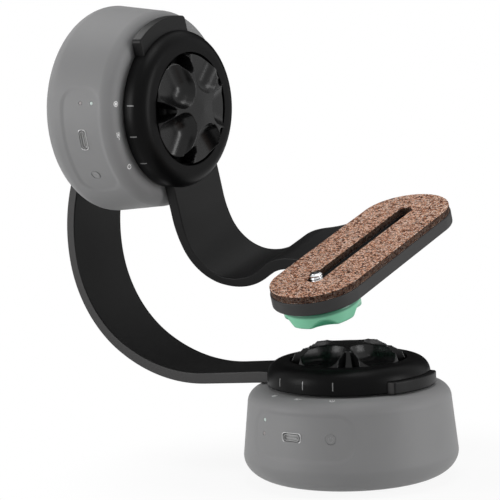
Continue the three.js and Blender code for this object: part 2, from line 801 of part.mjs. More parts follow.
// The pieces that turn with a head's motor, with the clamp knob turned to its rest angle
function headRotor(name, knobRest) {
  const group = new THREE.Group();
  const knob = new THREE.Group();
  knob.rotation.z = radians(knobRest);
  knob.add(
    piece(`${name}_knob`, knobGeometry(), finish.blackPlastic),
    piece(`${name}_knob_screw`, knobScrewGeometry(), finish.steel),
  );
  group.add(
    piece(`${name}_turntable`, turntableGeometry(), finish.blackMetal),
    piece(`${name}_disc`, discGeometry(), finish.blackPlastic),
    knob,
  );
  return group;
}

const part = new THREE.Group();

const panHead = headBase('pan');
const panRotor = headRotor('pan', panKnobRest);
panRotor.rotation.z = radians(180);
panRotor.add(piece('pan_arm', panArmGeometry(), finish.blackMetal));

// The tilt head's frame stands on the pan arm's end, with its axis along +X and its +x down
const tiltFrame = new THREE.Group();
tiltFrame.position.set(-tiltHeadReach, 0, tiltAxisHeight);
const armScrew = piece('arm_screw', armScrewGeometry(), finish.steel);
armScrew.position.x = -panArmThickness / 2 - seatGap;
armScrew.rotation.y = radians(-90);

const tiltHeadTurn = new THREE.Group();
tiltHeadTurn.rotation.x = radians(tiltHeadRoll);
const tiltHead = headBase('tilt');
tiltHead.rotation.y = radians(90);
tiltHeadTurn.add(tiltHead);

const tiltRotorTurn = new THREE.Group();
tiltRotorTurn.rotation.x = radians(tiltRest);
const tiltRotor = headRotor('tilt', tiltKnobRest);
tiltRotor.rotation.y = radians(90);
tiltRotorTurn.add(tiltRotor);

const cameraScrewGroup = new THREE.Group();
cameraScrewGroup.add(
  piece('camera_washer', onPlate(cameraWasherGeometry(), screwPlace), finish.blackPlastic),
  piece('camera_screw', onPlate(cameraScrewGeometry(), screwPlace), finish.steel),
  piece('camera_knob', onPlate(cameraKnobGeometry(), screwPlace), finish.green),
);
tiltRotor.add(
  piece('tilt_arm', tiltArmGeometry(), finish.blackMetal),
  piece('cork_pad', corkGeometry(), finish.cork),
  cameraScrewGroup,
);

tiltFrame.add(armScrew, tiltHeadTurn, tiltRotorTurn);
part.add(panHead, panRotor, tiltFrame);

export default part;
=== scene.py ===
# %% [markdown]
# # A pan and tilt bracket, dressed from its CAD model
#
# Two round motor heads, two bent straps and a cork faced camera plate. The CAD model gives every piece
# its place and its size. This lesson replaces the solids that a camera sees with finely rounded meshes,
# mixes a finish for each material, and lights the bracket like a small product on a pale table.
# Lengths in the code are millimetres, and they become metres when a mesh is made.

import math

import bmesh
import bpy
from mathutils import Matrix, Vector


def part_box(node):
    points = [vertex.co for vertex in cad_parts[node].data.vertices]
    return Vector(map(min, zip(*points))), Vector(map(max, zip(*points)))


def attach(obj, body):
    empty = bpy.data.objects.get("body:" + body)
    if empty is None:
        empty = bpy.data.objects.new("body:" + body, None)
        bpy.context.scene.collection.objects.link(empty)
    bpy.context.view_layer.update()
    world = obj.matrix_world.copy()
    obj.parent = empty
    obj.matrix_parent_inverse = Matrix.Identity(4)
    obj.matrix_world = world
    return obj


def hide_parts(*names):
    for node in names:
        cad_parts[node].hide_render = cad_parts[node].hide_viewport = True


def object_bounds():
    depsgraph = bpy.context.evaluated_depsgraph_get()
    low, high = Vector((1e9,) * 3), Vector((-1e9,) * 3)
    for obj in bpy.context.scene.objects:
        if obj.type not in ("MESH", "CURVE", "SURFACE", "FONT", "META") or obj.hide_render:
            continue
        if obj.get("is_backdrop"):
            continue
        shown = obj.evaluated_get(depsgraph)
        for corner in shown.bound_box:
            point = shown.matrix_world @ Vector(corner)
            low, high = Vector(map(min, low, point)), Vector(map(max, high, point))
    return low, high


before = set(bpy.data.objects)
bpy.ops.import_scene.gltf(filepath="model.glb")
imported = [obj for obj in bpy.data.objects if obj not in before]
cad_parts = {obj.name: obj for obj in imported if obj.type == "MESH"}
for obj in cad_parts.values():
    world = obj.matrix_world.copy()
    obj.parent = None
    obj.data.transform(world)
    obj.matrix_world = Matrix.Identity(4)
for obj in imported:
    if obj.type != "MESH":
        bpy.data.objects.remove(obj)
cad_low, cad_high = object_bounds()
MM = 0.001
print("CAD box:", [round(v, 4) for v in cad_low], [round(v, 4) for v in cad_high])

# %% [markdown]
# ## Where the pieces stand
#
# Both heads are the same product, so each piece is described once in a head's own frame: the foot is at
# z = 0, the motor's axis is z, and the arm leaves along x. A matrix then puts it on the pan head or on the
# tilt head. This is the same as making one drawing and placing it twice, and it keeps the heads alike.

# %% Frames of the two heads
turn = lambda degrees, axis: Matrix.Rotation(math.radians(degrees), 4, axis)
shift = lambda x, y, z: Matrix.Translation((x * MM, y * MM, z * MM))
TILT_AXIS_HEIGHT, PLATE_TILT, TILT_HEAD_TURN = 177.5, 16.5, 14
PAN_KNOB_TURN, TILT_KNOB_TURN = 16, 1.5
tilt_head_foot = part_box("tilt_foot_ring")[0].x
tilt_place = Matrix.Translation((tilt_head_foot, 0, TILT_AXIS_HEIGHT * MM))
pan_rotor = turn(180, "Z")
tilt_rotor = tilt_place @ turn(PLATE_TILT, "X") @ turn(90, "Y")
heads = {
    "pan": {
        "base": Matrix.Identity(4), "base_body": "pan_head",
        "rotor": pan_rotor, "rotor_body": "pan_turn",
        "knob": pan_rotor @ turn(PAN_KNOB_TURN, "Z"), "knob_body": "pan_clamp",
        "button_body": "pan_button",
    },
    "tilt": {
        "base": tilt_place @ turn(TILT_HEAD_TURN, "X") @ turn(90, "Y"), "base_body": "pan_turn",
        "rotor": tilt_rotor, "rotor_body": "tilt_turn",
        "knob": tilt_rotor @ turn(TILT_KNOB_TURN, "Z"), "knob_body": "tilt_clamp",
        "button_body": "tilt_button",
    },
}
print("tilt head's foot stands at x =", round(tilt_head_foot / MM, 2), "mm")

# %% [markdown]
# ## The camera
#
# A long lens from about 36 degrees to the right and 7 degrees up gives the flat, calm look of a catalogue
# picture. The camera could be aimed with a Track To constraint, but a picture that has to match another
# needs exact numbers, so the matrix is built from azimuth, elevation and roll.

# %% Build the camera
def camera_matrix(azimuth, elevation, roll, place):
    """The matrix of a camera that looks along an azimuth, downward by an elevation, with a roll."""
    a, e, r = (math.radians(v) for v in (azimuth, elevation, roll))
    forward = Vector((-math.sin(a) * math.cos(e), math.cos(a) * math.cos(e), -math.sin(e)))
    right = Vector((math.cos(a), math.sin(a), 0))
    up = right.cross(forward)
    rolled_right = right * math.cos(r) + up * math.sin(r)
    rolled_up = up * math.cos(r) - right * math.sin(r)
    matrix = Matrix((rolled_right, rolled_up, -forward)).transposed().to_4x4()
    matrix.translation = place
    return matrix


def tuned(thing, **settings):
    """Sets a thing's attributes and hands it back."""
    for name, value in settings.items():
        setattr(thing, name, value)
    return thing


def placed(name, data):
    """A new object of this data, linked to the scene."""
    thing = bpy.data.objects.new(name, data)
    bpy.context.scene.collection.objects.link(thing)
    return thing


camera_data = tuned(bpy.data.cameras.new("camera"), lens=171.116, sensor_width=36, clip_start=0.05)
camera = placed("camera", camera_data)
camera.matrix_world = camera_matrix(36.1352, 6.8678, -2.1111, (0.630643, -0.940815, 0.248258))
bpy.context.scene.camera = camera
print("lens", camera_data.lens, "mm")

# %% [markdown]
# ## Node maths that reads like maths
#
# A material is a network of nodes. Wired by hand in Python, a sum of two masks takes three lines. One small
# class that wraps a socket makes the sum of two wires a Math node, so a finish can be written as
# an expression. Colours go through Mix nodes, because a Math node would turn them grey.

# %% One class for node wires
class Wire:
    """A node's output. Arithmetic on it adds Math nodes, and node() adds a node of any other kind."""

    def __init__(self, tree, socket=None):
        self.tree = tree
        self.socket = socket

    def node(self, kind, settings, inputs, output=0):
        """Adds a node: its settings first, then the values or wires of its sockets."""
        made = self.tree.nodes.new(kind)
        for name, value in settings.items():
            if name == "stops":
                while len(made.color_ramp.elements) < len(value):
                    made.color_ramp.elements.new(1)
                for element, (position, colour) in zip(made.color_ramp.elements, value):
                    element.position = position
                    element.color = (*colour, 1)
            else:
                setattr(made, name, value)
        for key, value in inputs.items():
            if isinstance(value, Wire):
                self.tree.links.new(value.socket, made.inputs[key])
            else:
                made.inputs[key].default_value = value
        return Wire(self.tree, made.outputs[output])

    def maths(self, operation, first, second=0.0):
        return self.node("ShaderNodeMath", {"operation": operation}, {0: first, 1: second})

    def __add__(self, other):
        return self.maths("ADD", self, other)

    def __sub__(self, other):
        return self.maths("SUBTRACT", self, other)

    def __rsub__(self, other):
        return self.maths("SUBTRACT", other, self)

    def __mul__(self, other):
        return self.maths("MULTIPLY", self, other)

    __radd__ = __add__
    __rmul__ = __mul__

    def step(self, low, high):
        """0 below low and 1 above high, with a smooth change between them."""
        return self.node("ShaderNodeMapRange", {"interpolation_type": "SMOOTHSTEP"},
                         {"Value": self, "From Min": low, "From Max": high})

    def mix(self, first, second):
        """The first colour where this wire is 0 and the second where it is 1."""
        colours = [(*c, 1) if isinstance(c, tuple) else c for c in (first, second)]
        return self.node("ShaderNodeMix", {"data_type": "RGBA"}, {0: self, 6: colours[0], 7: colours[1]}, 2)


# %% A material's shader and its usual helpers
class Finish:
    """A named material: fixed values sit on its shader's sockets, and wires feed what varies."""

    def __init__(self, name, **fixed):
        self.material = bpy.data.materials.new(name)
        self.material.use_nodes = True
        self.shader = self.material.node_tree.nodes["Principled BSDF"]
        for socket, value in fixed.items():
            self.shader.inputs[socket.replace("_", " ")].default_value = value
        self.bench = Wire(self.material.node_tree)
        self.place = self.bench.node("ShaderNodeTexCoord", {}, {}, "Object")

    def feed(self, socket, wire):
        self.material.node_tree.links.new(wire.socket, self.shader.inputs[socket])

    def dress(self, colour, roughness, height, depth):
        """Feeds what nearly every finish varies: colour, roughness and a bump of some depth in metres."""
        self.feed("Base Color", colour)
        self.feed("Roughness", roughness)
        inputs = {"Height": height, "Distance": depth, "Strength": 1.0}
        self.feed("Normal", self.bench.node("ShaderNodeBump", {}, inputs))
        return self.material

    def noise(self, per_metre, detail=2.0, roughness=0.5):
        """Soft noise with about this many lumps in a metre."""
        return self.bench.node("ShaderNodeTexNoise", {}, {
            "Vector": self.place, "Scale": per_metre, "Detail": detail, "Roughness": roughness})

    def edges(self, low=0.52, high=0.6):
        """1 on convex edges, where handling polishes or scuffs a surface."""
        return self.bench.node("ShaderNodeNewGeometry", {}, {}, "Pointiness").step(low, high)

    def vector(self, operation, inputs, output="Value"):
        return self.bench.node("ShaderNodeVectorMath", {"operation": operation}, inputs, output)


def seen_directly(bench):
    """1 for what the camera, a reflection or a transmission sees, and 0 for diffuse light and shadows."""
    rays = [bench.node("ShaderNodeLightPath", {}, {}, ray)
            for ray in ("Is Camera Ray", "Is Glossy Ray", "Is Transmission Ray")]
    return bench.maths("MINIMUM", rays[0] + rays[1] + rays[2], 1.0)


grey = lambda level: (level, level, level)
print("wires and finishes are ready")

# %% [markdown]
# ## Black plastic and black metal
#
# The clamp discs and knobs are injection moulded plastic: nearly black, satin, with a very fine spark
# eroded grain that breaks up the reflections. The straps are aluminium bar under a black powder coat, which
# has a lumpier skin, like orange peel. Both are mostly a question of roughness and bump, since
# there is hardly any colour to see, so the base colour only drifts a little. The narrow sides of the
# straps and of the plate get a second, paler coat: a painted highlight for the light these sides catch.

# %% Clamp plastic, knob plastic, powder coat and its edge with a painted highlight
def black_finish(name, colour, lighter, rough, rough_drift, grain, depth, **fixed):
    """A dark finish with drifting colour and roughness, scuffed edges and a fine grain."""
    finish = Finish(name, **fixed)
    cloud = finish.noise(45, 4)
    speck = finish.noise(grain, 2)
    worn = finish.edges() * cloud.step(0.35, 0.7)
    return finish.dress((0.35 * cloud + 0.65 * worn).mix(colour, lighter),
                        rough + rough_drift * (cloud - 0.5) + 0.1 * (speck - 0.5) + 0.05 * worn, speck, depth)


clamp_plastic = black_finish("clamp_plastic", (0.0015, 0.0015, 0.0016), (0.006, 0.006, 0.0062),
                             0.38, 0.1, 3200, 0.000012, Specular_IOR_Level=0.07)
knob_plastic = black_finish("knob_plastic", (0.002, 0.002, 0.0021), (0.006, 0.006, 0.0062),
                            0.27, 0.08, 3600, 0.000004, Specular_IOR_Level=0.26)
powder_coat = black_finish("powder_coat", (0.003, 0.003, 0.0031), (0.011, 0.011, 0.0113),
                           0.42, 0.1, 1500, 0.00003, Specular_IOR_Level=0.15)
# A paler copy of the powder coat: a painted highlight for the narrow sides that catch the light.
painted_highlight_edge = black_finish("painted_highlight_edge", (0.034, 0.033, 0.033), (0.065, 0.064, 0.064),
                        0.45, 0.1, 1500, 0.00002, Specular_IOR_Level=0.15)
print("black finishes:", clamp_plastic.name, knob_plastic.name, powder_coat.name, painted_highlight_edge.name)

# %% [markdown]
# ## The heads' grey skin
#
# The housings are soft touch plastic, an even mid grey without gloss. Real soft touch paint has a fine
# velvety grain, a trace of cloudiness in its tone, and a slight shine where fingers rub the edges.

# %% Grey skin
def grey_skin():
    finish = Finish("grey_skin", Sheen_Weight=0.15, Sheen_Roughness=0.5)
    cloud = finish.noise(28, 5)
    speck = finish.noise(2600, 2)
    worn = finish.edges(0.53, 0.62)
    tone = 0.7 * cloud.step(0.3, 0.7) + 0.3 * speck
    return finish.dress(tone.mix((0.18, 0.18, 0.182), (0.2, 0.2, 0.202)),
                        0.6 + 0.08 * (cloud - 0.5) + 0.1 * (speck - 0.5) - 0.12 * worn, speck, 0.00001)


grey_skin = grey_skin()
print("grey finish:", grey_skin.name)

# %% [markdown]
# ## Cork
#
# Agglomerated cork is crushed bark, 1 to 2 mm to a crumb, pressed together with a dark binder. Each crumb
# has its own tone, from pale pink to burnt brown. A Voronoi texture gives crumbs directly: its cell
# colour picks a tone for each crumb, its distance to the edge gives the binder between them, and a
# second, finer layer breaks the crumbs up so that they don't look like a mosaic. The sheet's cut sides,
# round its outline and in its slot, get the same cork darkened to a painted shade.

# %% Cork crumbs
def cork(name, shade):
    """Crumbs in a binder, all their colours multiplied by a shade, which below 1 paints shade on them."""
    finish = Finish(name, Specular_IOR_Level=0.1)
    node = finish.bench.node
    wobble = {0: finish.noise(900, 3), 1: grey(0.0003), 2: finish.place}
    warped = node("ShaderNodeVectorMath", {"operation": "MULTIPLY_ADD"}, wobble)
    crumb = {"Vector": warped, "Scale": 1000.0, "Randomness": 1.0}
    tone = node("ShaderNodeTexVoronoi", {}, crumb, "Color")
    red = node("ShaderNodeSeparateColor", {}, {"Color": tone})
    gap = node("ShaderNodeTexVoronoi", {"feature": "DISTANCE_TO_EDGE"}, crumb, "Distance")
    fine = node("ShaderNodeTexVoronoi", {}, {"Vector": warped, "Scale": 2600.0}, "Color")
    grain = node("ShaderNodeSeparateColor", {}, {"Color": fine})
    stops = [(0.0, (0.012, 0.006, 0.005)), (0.26, (0.07, 0.028, 0.019)), (0.38, (0.5, 0.2, 0.11)),
             (0.5, (0.95, 0.48, 0.29)), (0.64, (1.0, 0.88, 0.78)), (0.76, (0.85, 0.36, 0.16)),
             (0.86, (0.22, 0.18, 0.2)), (1.0, (1.0, 0.82, 0.7))]
    stops = [(position, tuple(shade * part for part in colour)) for position, colour in stops]
    colour = node("ShaderNodeValToRGB", {"stops": stops}, {"Fac": 0.62 * red + 0.38 * grain})
    binder = 1 - gap.step(0.02, 0.16)
    return finish.dress((0.6 * binder).mix(colour, (0.05, 0.03, 0.025)), 0.86 + 0.1 * (grain - 0.5),
                        gap.step(0.0, 0.3) * 0.6 + 0.4 * grain, 0.00022)


cork_crumbs = cork("cork", 1.0)
# The cut sides' copy, darkened to a painted shade.
cork_painted_shade = cork("cork_painted_shade", 0.13)
print("cork finishes:", cork_crumbs.name, cork_painted_shade.name)

# %% [markdown]
# ## Metals
#
# Screws, bearings and sockets are turned parts. A fine noise stands for the marks that the tool leaves, and
# a coarse one for dull patches. Metallic is 1 on each, and what makes chrome, brass or motor steel of it is
# the colour and how rough it is.

# %% Turned metals
def turned_metal(name, colour, dull, rough):
    """A bright metal with faint tool marks and dull patches."""
    finish = Finish(name, Metallic=1.0)
    cloud = finish.noise(160, 4)
    marks = finish.noise(5200, 2)
    return finish.dress((0.5 * cloud + 0.5 * marks).mix(colour, dull),
                        rough + 0.14 * (cloud - 0.5) + 0.08 * (marks - 0.5), marks, 0.000004)


chrome = turned_metal("chrome", (0.82, 0.83, 0.85), (0.62, 0.63, 0.65), 0.16)
brass = turned_metal("brass", (0.78, 0.55, 0.22), (0.55, 0.37, 0.14), 0.3)
steel = turned_metal("steel", (0.62, 0.63, 0.65), (0.42, 0.42, 0.44), 0.3)
motor_steel = turned_metal("motor_steel", (0.48, 0.49, 0.51), (0.33, 0.33, 0.35), 0.42)
black_screw = turned_metal("black_screw", (0.05, 0.05, 0.053), (0.02, 0.02, 0.021), 0.38)
print("metals: chrome, brass, steel, motor steel, blackened steel")

# %% [markdown]
# ## Green plastic, rubber and what is inside
#
# The camera screw's knob is mint green plastic, glossy enough to show soft highlights and a little
# cloudy inside. Its finish paints shade into the scallops and a darker shadow under the plate, and finds
# those places from the knob's own top and axis, so it is only described here and mixed once the knob's
# place is known. The foot ring is matt rubber. The boards, the battery's wrap and the lamps' lenses are
# small or hidden, but each still gets what makes it itself: tracks, wrinkles, a pale glow.

# %% Mint green and rubber
def mint_plastic(top, down, radius, height):
    """Mint green with painted shade in the scallops and a darker painted shadow under the plate. Top and down
    are the knob's own.
    """
    finish = Finish("mint_plastic", Subsurface_Weight=0.12, Subsurface_Radius=(0.001, 0.002, 0.0015))
    offset = finish.vector("SUBTRACT", {0: finish.place, 1: tuple(top)}, "Vector")
    depth = finish.vector("DOT_PRODUCT", {0: offset, 1: tuple(down)})
    reach = finish.vector("LENGTH", {0: offset})
    # Where the scallops cut into the knob: the mask for the painted shade.
    across = (reach * reach - depth * depth).step((radius - 1.6 * MM) ** 2, (radius - 0.5 * MM) ** 2)
    above_foot = 1 - depth.step(height - 0.4 * MM, height - 0.2 * MM)
    scallop_shade_mask = (1 - across) * depth.step(2.7 * MM, 3.2 * MM) * above_foot
    cloud = finish.noise(120, 3)
    speck = finish.noise(3000, 2)
    worn = finish.edges(0.53, 0.6)
    skin_tone = (0.6 * cloud + 0.4 * worn).mix((0.16, 0.5, 0.31), (0.24, 0.62, 0.41))
    # Painted shade in the scallops.
    tone_with_scallop_shade = (0.85 * scallop_shade_mask).mix(skin_tone, (0.06, 0.32, 0.18))
    # Painted shadow that the plate casts on the knob's top.
    painted_plate_shadow = 0.9 * (1 - depth.step(1.2 * MM, 2.4 * MM))
    return finish.dress(painted_plate_shadow.mix(tone_with_scallop_shade, (0.015, 0.14, 0.075)),
                        0.34 + 0.1 * (cloud - 0.5) + 0.08 * (speck - 0.5), speck, 0.000006)


def rubber():
    finish = Finish("foot_rubber", Specular_IOR_Level=0.3)
    cloud = finish.noise(90, 4)
    speck = finish.noise(1800, 3)
    return finish.dress(cloud.mix(grey(0.012), (0.035, 0.034, 0.033)), 0.8 + 0.15 * (speck - 0.5),
                        speck, 0.00004)


foot_rubber = rubber()
print("soft finish:", foot_rubber.name)

# %% Circuit board, battery wrap, pale paints and lenses
def circuit_board():
    finish = Finish("circuit_board")
    tracks = finish.bench.node("ShaderNodeTexBrick", {"offset": 0.5}, {
        "Vector": finish.place, "Scale": 320.0, "Mortar Size": 0.04, "Color1": (0, 0, 0, 1),
        "Color2": (0.25, 0.25, 0.25, 1), "Mortar": (1, 1, 1, 1)}, "Color")
    mask = finish.bench.node("ShaderNodeSeparateColor", {}, {"Color": tracks})
    return finish.dress(mask.mix((0.008, 0.07, 0.028), (0.03, 0.19, 0.075)), 0.42 - 0.1 * mask,
                        mask, 0.00004)


def battery_wrap():
    finish = Finish("battery_wrap", Coat_Roughness=0.15)
    wrinkle = finish.noise(260, 4, 0.65)
    finish.feed("Coat Weight", wrinkle.step(0.3, 0.7))
    return finish.dress(wrinkle.mix((0.012, 0.05, 0.19), (0.03, 0.1, 0.3)), 0.3 + 0.2 * wrinkle,
                        wrinkle, 0.0001)


def pale_paint(name, colour, glow=0.0):
    finish = Finish(name, Emission_Strength=glow)
    speck = finish.noise(2500, 2)
    finish.feed("Base Color", speck.mix(tuple(0.86 * c for c in colour), colour))
    finish.feed("Emission Color", speck.mix(tuple(0.9 * c for c in colour), colour))
    finish.feed("Roughness", 0.4 + 0.2 * (speck - 0.5))
    return finish.material


board_green = circuit_board()
battery_blue = battery_wrap()
mark_paint = pale_paint("mark_paint", grey(0.17))
faint_paint = pale_paint("faint_paint", grey(0.3))
# Pale grey with a painted glow: light that reaches into the port, painted on.
port_grey_painted_glow = pale_paint("port_grey_painted_glow", grey(0.28), 0.12)
# Pale paint for the printed marks, and for the painted highlight round the port's opening.
icon_and_highlight_paint = pale_paint("icon_and_highlight_paint", grey(0.85))
lens_clear = pale_paint("lens_clear", (0.5, 0.58, 0.55), 0.1)
lens_dim = pale_paint("lens_dim", (0.32, 0.29, 0.29))
print("inside finishes:", board_green.name, battery_blue.name, lens_clear.name)

# %% [markdown]
# ## Making meshes
#
# Three small makers cover most of this object. A skin runs over a row of outlines of equal length, which
# suits anything turned or extruded. An outline with rounded corners gives every edge the radius it
# has in the real part, and light needs such edges to catch on. Bevel modifiers would do that too, but
# they need a clean mesh, and these meshes get cut.

# %% Outlines with rounded corners
def polar(radius, angle, z):
    """A point at a radius and an angle round z."""
    return radius * math.cos(angle), radius * math.sin(angle), z


circle_loop = lambda r, z, sides=36: [polar(r, math.tau * j / sides, z) for j in range(sides)]


def arc(centre, radii, start, end, steps):
    """Points of an arc from one angle to another in degrees, with one radius or an ellipse's two."""
    across, upward = radii if isinstance(radii, tuple) else (radii, radii)
    angles = [math.radians(start + (end - start) * step / steps) for step in range(steps + 1)]
    return [(centre[0] + across * math.cos(a), centre[1] + upward * math.sin(a)) for a in angles]


def rounded(corners, steps=5):
    """A closed outline from (x, y, radius) corners, with an arc at each corner that has a radius."""
    outline = []
    for index, (x, y, radius) in enumerate(corners):
        corner = Vector((x, y))
        before = (Vector(corners[index - 1][:2]) - corner).normalized()
        after = (Vector(corners[(index + 1) % len(corners)][:2]) - corner).normalized()
        if not radius:
            outline.append((x, y))
            continue
        half = before.angle(after) / 2
        centre = corner + (before + after).normalized() * radius / math.sin(half)
        start = corner + before * radius / math.tan(half) - centre
        end = corner + after * radius / math.tan(half) - centre
        swing = start.angle_signed(end)
        for step in range(steps + 1):
            ray = Matrix.Rotation(-swing * step / steps, 2) @ start
            outline.append(tuple(centre + ray))
    return outline


def rectangle(x, y, corner, steps=5):
    """An outline from -x to x and from -y to y with round corners."""
    return rounded([(-x, -y, corner), (x, -y, corner), (x, y, corner), (-x, y, corner)], steps)


def stadium(length, width, steps=16, centre=(0.0, 0.0)):
    """An outline with round ends along y, counterclockwise."""
    end = (length - width) / 2
    upper = arc((centre[0], centre[1] + end), width / 2, 0, 180, steps)
    lower = arc((centre[0], centre[1] - end), width / 2, 180, 360, steps)
    return upper + lower


print("a rounded square has", len(rectangle(2, 2, 1)), "points")

# %% Skins over outlines
def mesh_piece(name, points, faces, finish):
    """An object of points in millimetres, with its faces turned outward."""
    mesh = bpy.data.meshes.new(name)
    mesh.from_pydata([Vector(point) * MM for point in points], [], faces)
    tidy = bmesh.new()
    tidy.from_mesh(mesh)
    bmesh.ops.remove_doubles(tidy, verts=tidy.verts, dist=1e-7)
    bmesh.ops.recalc_face_normals(tidy, faces=tidy.faces)
    tidy.to_mesh(mesh)
    tidy.free()
    mesh.materials.append(finish)
    return placed(name, mesh)


def skin(name, loops, finish, closed=False):
    """Faces between neighbouring loops of points; the ends are capped, or joined when closed."""
    count = len(loops[0])
    points = [point for loop in loops for point in loop]
    pairs = [(i, i + 1) for i in range(len(loops) - 1)] + ([(len(loops) - 1, 0)] if closed else [])
    faces = [(a * count + j, a * count + (j + 1) % count, b * count + (j + 1) % count, b * count + j)
             for a, b in pairs for j in range(count)]
    if not closed:
        faces.append(tuple(range(count)))
        faces.append(tuple((len(loops) - 1) * count + j for j in range(count)))
    return mesh_piece(name, points, faces, finish)


def turned(name, outline, finish, sides=96, closed=True):
    """A round piece about z from an outline of (radius, height) points."""
    return skin(name, [circle_loop(r, z, sides) for r, z in outline], finish, closed)


def stacked(name, rows, finish, closed=False):
    """A skin over flat outlines, each at its own height, from (outline, height) rows."""
    return skin(name, [[(x, y, z) for x, y in outline] for outline, z in rows], finish, closed)


def smooth(piece, angle=35):
    """Smooth shading that stays crisp where faces meet at more than an angle."""
    piece.data.shade_smooth()
    piece.data.set_sharp_from_angle(angle=math.radians(angle))
    return piece


def evaluated_mesh(thing):
    """The mesh that an object's curve or modifiers make."""
    bpy.context.view_layer.update()
    return bpy.data.meshes.new_from_object(thing.evaluated_get(bpy.context.evaluated_depsgraph_get()))


def settle(piece):
    """Makes a piece's modifiers part of its mesh."""
    mesh = evaluated_mesh(piece)
    piece.modifiers.clear()
    piece.data = mesh


def second_finish(piece, finish, chosen):
    """Gives the faces that chosen() picks a second finish."""
    piece.data.materials.append(finish)
    for polygon in piece.data.polygons:
        polygon.material_index = int(chosen(polygon))


def cut(piece, *tools):
    """Cuts tools out of a piece, one exact boolean each, and removes them."""
    for tool in tools:
        tuned(piece.modifiers.new("cut", "BOOLEAN"), object=tool, operation="DIFFERENCE", solver="EXACT")
    settle(piece)
    for tool in tools:
        bpy.data.objects.remove(tool)


# %% Put a piece on the frame
def seat(piece, matrix, body, slot, *nodes):
    """Places a piece, lets it ride on its body, and hides the CAD nodes it stands for."""
    piece.data.transform(matrix)
    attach(piece, body)
    if nodes:
        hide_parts(*nodes)


def seat_on_heads(piece, part, slot, node=None, local=Matrix.Identity(4), where="base", body=None):
    """Puts a piece on the pan head and a copy of it on the tilt head."""
    twins = {"pan": piece, "tilt": piece.copy()}
    twins["tilt"].data = piece.data.copy()
    bpy.context.scene.collection.objects.link(twins["tilt"])
    for head, twin in twins.items():
        twin.name = f"{head}_{part}"
        nodes = [f"{head}_{node}"] if node else []
        seat(twin, heads[head][where] @ local, heads[head][body or f"{where}_body"], slot, *nodes)


outward = lambda azimuth, height: shift(0, 0, height) @ turn(azimuth, "Z") @ turn(90, "Y")
print("makers are ready")

# %% [markdown]
# ## The housing
#
# The head's housing is one moulded shell: a wide elliptical radius at the foot, a wall that tapers a
# little, and a round shoulder under the clamp disc. Round the controls the skin is sunk by nearly half a
# millimetre in a panel with round corners. A boolean can't make such a soft step, so the panel is pressed
# into the turned mesh: each wall point moves inward by how far it lies inside the panel's outline.

# %% Sizes of a head
HEAD_RADIUS, WALL_FOOT, SHOULDER_HEIGHT, HEAD_TOP = 52.0, 12.6, 37.9, 45.0
SHOULDER_RADIUS, SHOULDER_FILLET = 49.296, 7.1
FOOT_HOLE, FOOT_CENTRE, WALL_HEIGHT, WALL_STEPS = 34.008, 36.296, 25.3, 34
CONTROLS_HEIGHT = 27.81
PANEL_DEPTH, PANEL_STEP = 0.45, 1.6


def wall_radius(height):
    share = (height - WALL_FOOT) / (SHOULDER_HEIGHT - WALL_FOOT)
    return HEAD_RADIUS + (SHOULDER_RADIUS - HEAD_RADIUS) * share


def panel_mask(azimuth, height):
    """1 inside the sunk panel and 0 outside, with a soft step between them."""
    half_width, half_height, corner = 28.6, 10.8, 8.5
    across = abs(math.radians(azimuth + 86.9) * 50.3) - half_width + corner
    upward = abs(height - 28.0) - half_height + corner
    outside = math.hypot(max(across, 0), max(upward, 0)) + min(max(across, upward), 0) - corner
    share = min(max(0.5 - outside / PANEL_STEP, 0), 1)
    return share * share * (3 - 2 * share)


print("wall radius at the controls:", round(wall_radius(CONTROLS_HEIGHT), 2), "mm")

# %% The housing's turned wall with its pressed panel
foot_curve = arc((FOOT_CENTRE, WALL_FOOT), (HEAD_RADIUS - FOOT_CENTRE, WALL_FOOT - 0.8), -90, 0, 20)
wall_heights = [WALL_FOOT + WALL_HEIGHT * step / WALL_STEPS for step in range(1, WALL_STEPS)]
wall_rows = [(wall_radius(z), z) for z in wall_heights]
shoulder_centre = (SHOULDER_RADIUS - SHOULDER_FILLET, SHOULDER_HEIGHT)
shoulder_curve = arc(shoulder_centre, SHOULDER_FILLET, 0, 90, 14)
outside_rows = [(FOOT_HOLE, 1.1), (34.3, 0.8)] + foot_curve + wall_rows + shoulder_curve
inside_rows = [(30.3, HEAD_TOP), (30.0, 44.7), (30.0, 42.6)]
inside_rows += arc(shoulder_centre, 4.7, 90, 0, 6)
inside_rows += arc((FOOT_CENTRE, WALL_FOOT), (13.3, 8.8), 0, -90, 8) + [(FOOT_HOLE, 3.8)]
SIDES = 360
housing_loops = []
for index, (radius, height) in enumerate(outside_rows + inside_rows):
    depth = PANEL_DEPTH if index < len(outside_rows) else 0
    housing_loops.append([
        polar(radius - depth * panel_mask(azimuth, height), math.radians(azimuth), height)
        for azimuth in (360 * j / SIDES - 180 for j in range(SIDES))])
housing = skin("housing", housing_loops, grey_skin, closed=True)
print("housing mesh:", len(housing.data.polygons), "faces")

# %% Holes for the port, the button and the lamps
def outward_tool(outline, azimuth, height):
    tool = stacked("tool", [(outline, 40.0), (outline, 56.0)], grey_skin)
    tool.matrix_world = outward(azimuth, height)
    return tool


round_hole = lambda radius: arc((0, 0), radius, 0, 345, 23)
PORT_AZIMUTH, BUTTON_AZIMUTH, LAMP_AZIMUTH = -90, -67, -111
lamp_heights = {"lower": CONTROLS_HEIGHT, "upper": CONTROLS_HEIGHT + 6.4}
holes = [outward_tool(stadium(9.9, 4.0, 16), PORT_AZIMUTH, CONTROLS_HEIGHT),
         outward_tool(round_hole(2.5), BUTTON_AZIMUTH, CONTROLS_HEIGHT)]
holes += [outward_tool(round_hole(0.98), LAMP_AZIMUTH, height) for height in lamp_heights.values()]
cut(housing, *holes)
smooth(housing, 30)
seat_on_heads(housing, "housing", "grey_shell", "shell")
print("housing with holes:", len(housing.data.polygons), "faces")
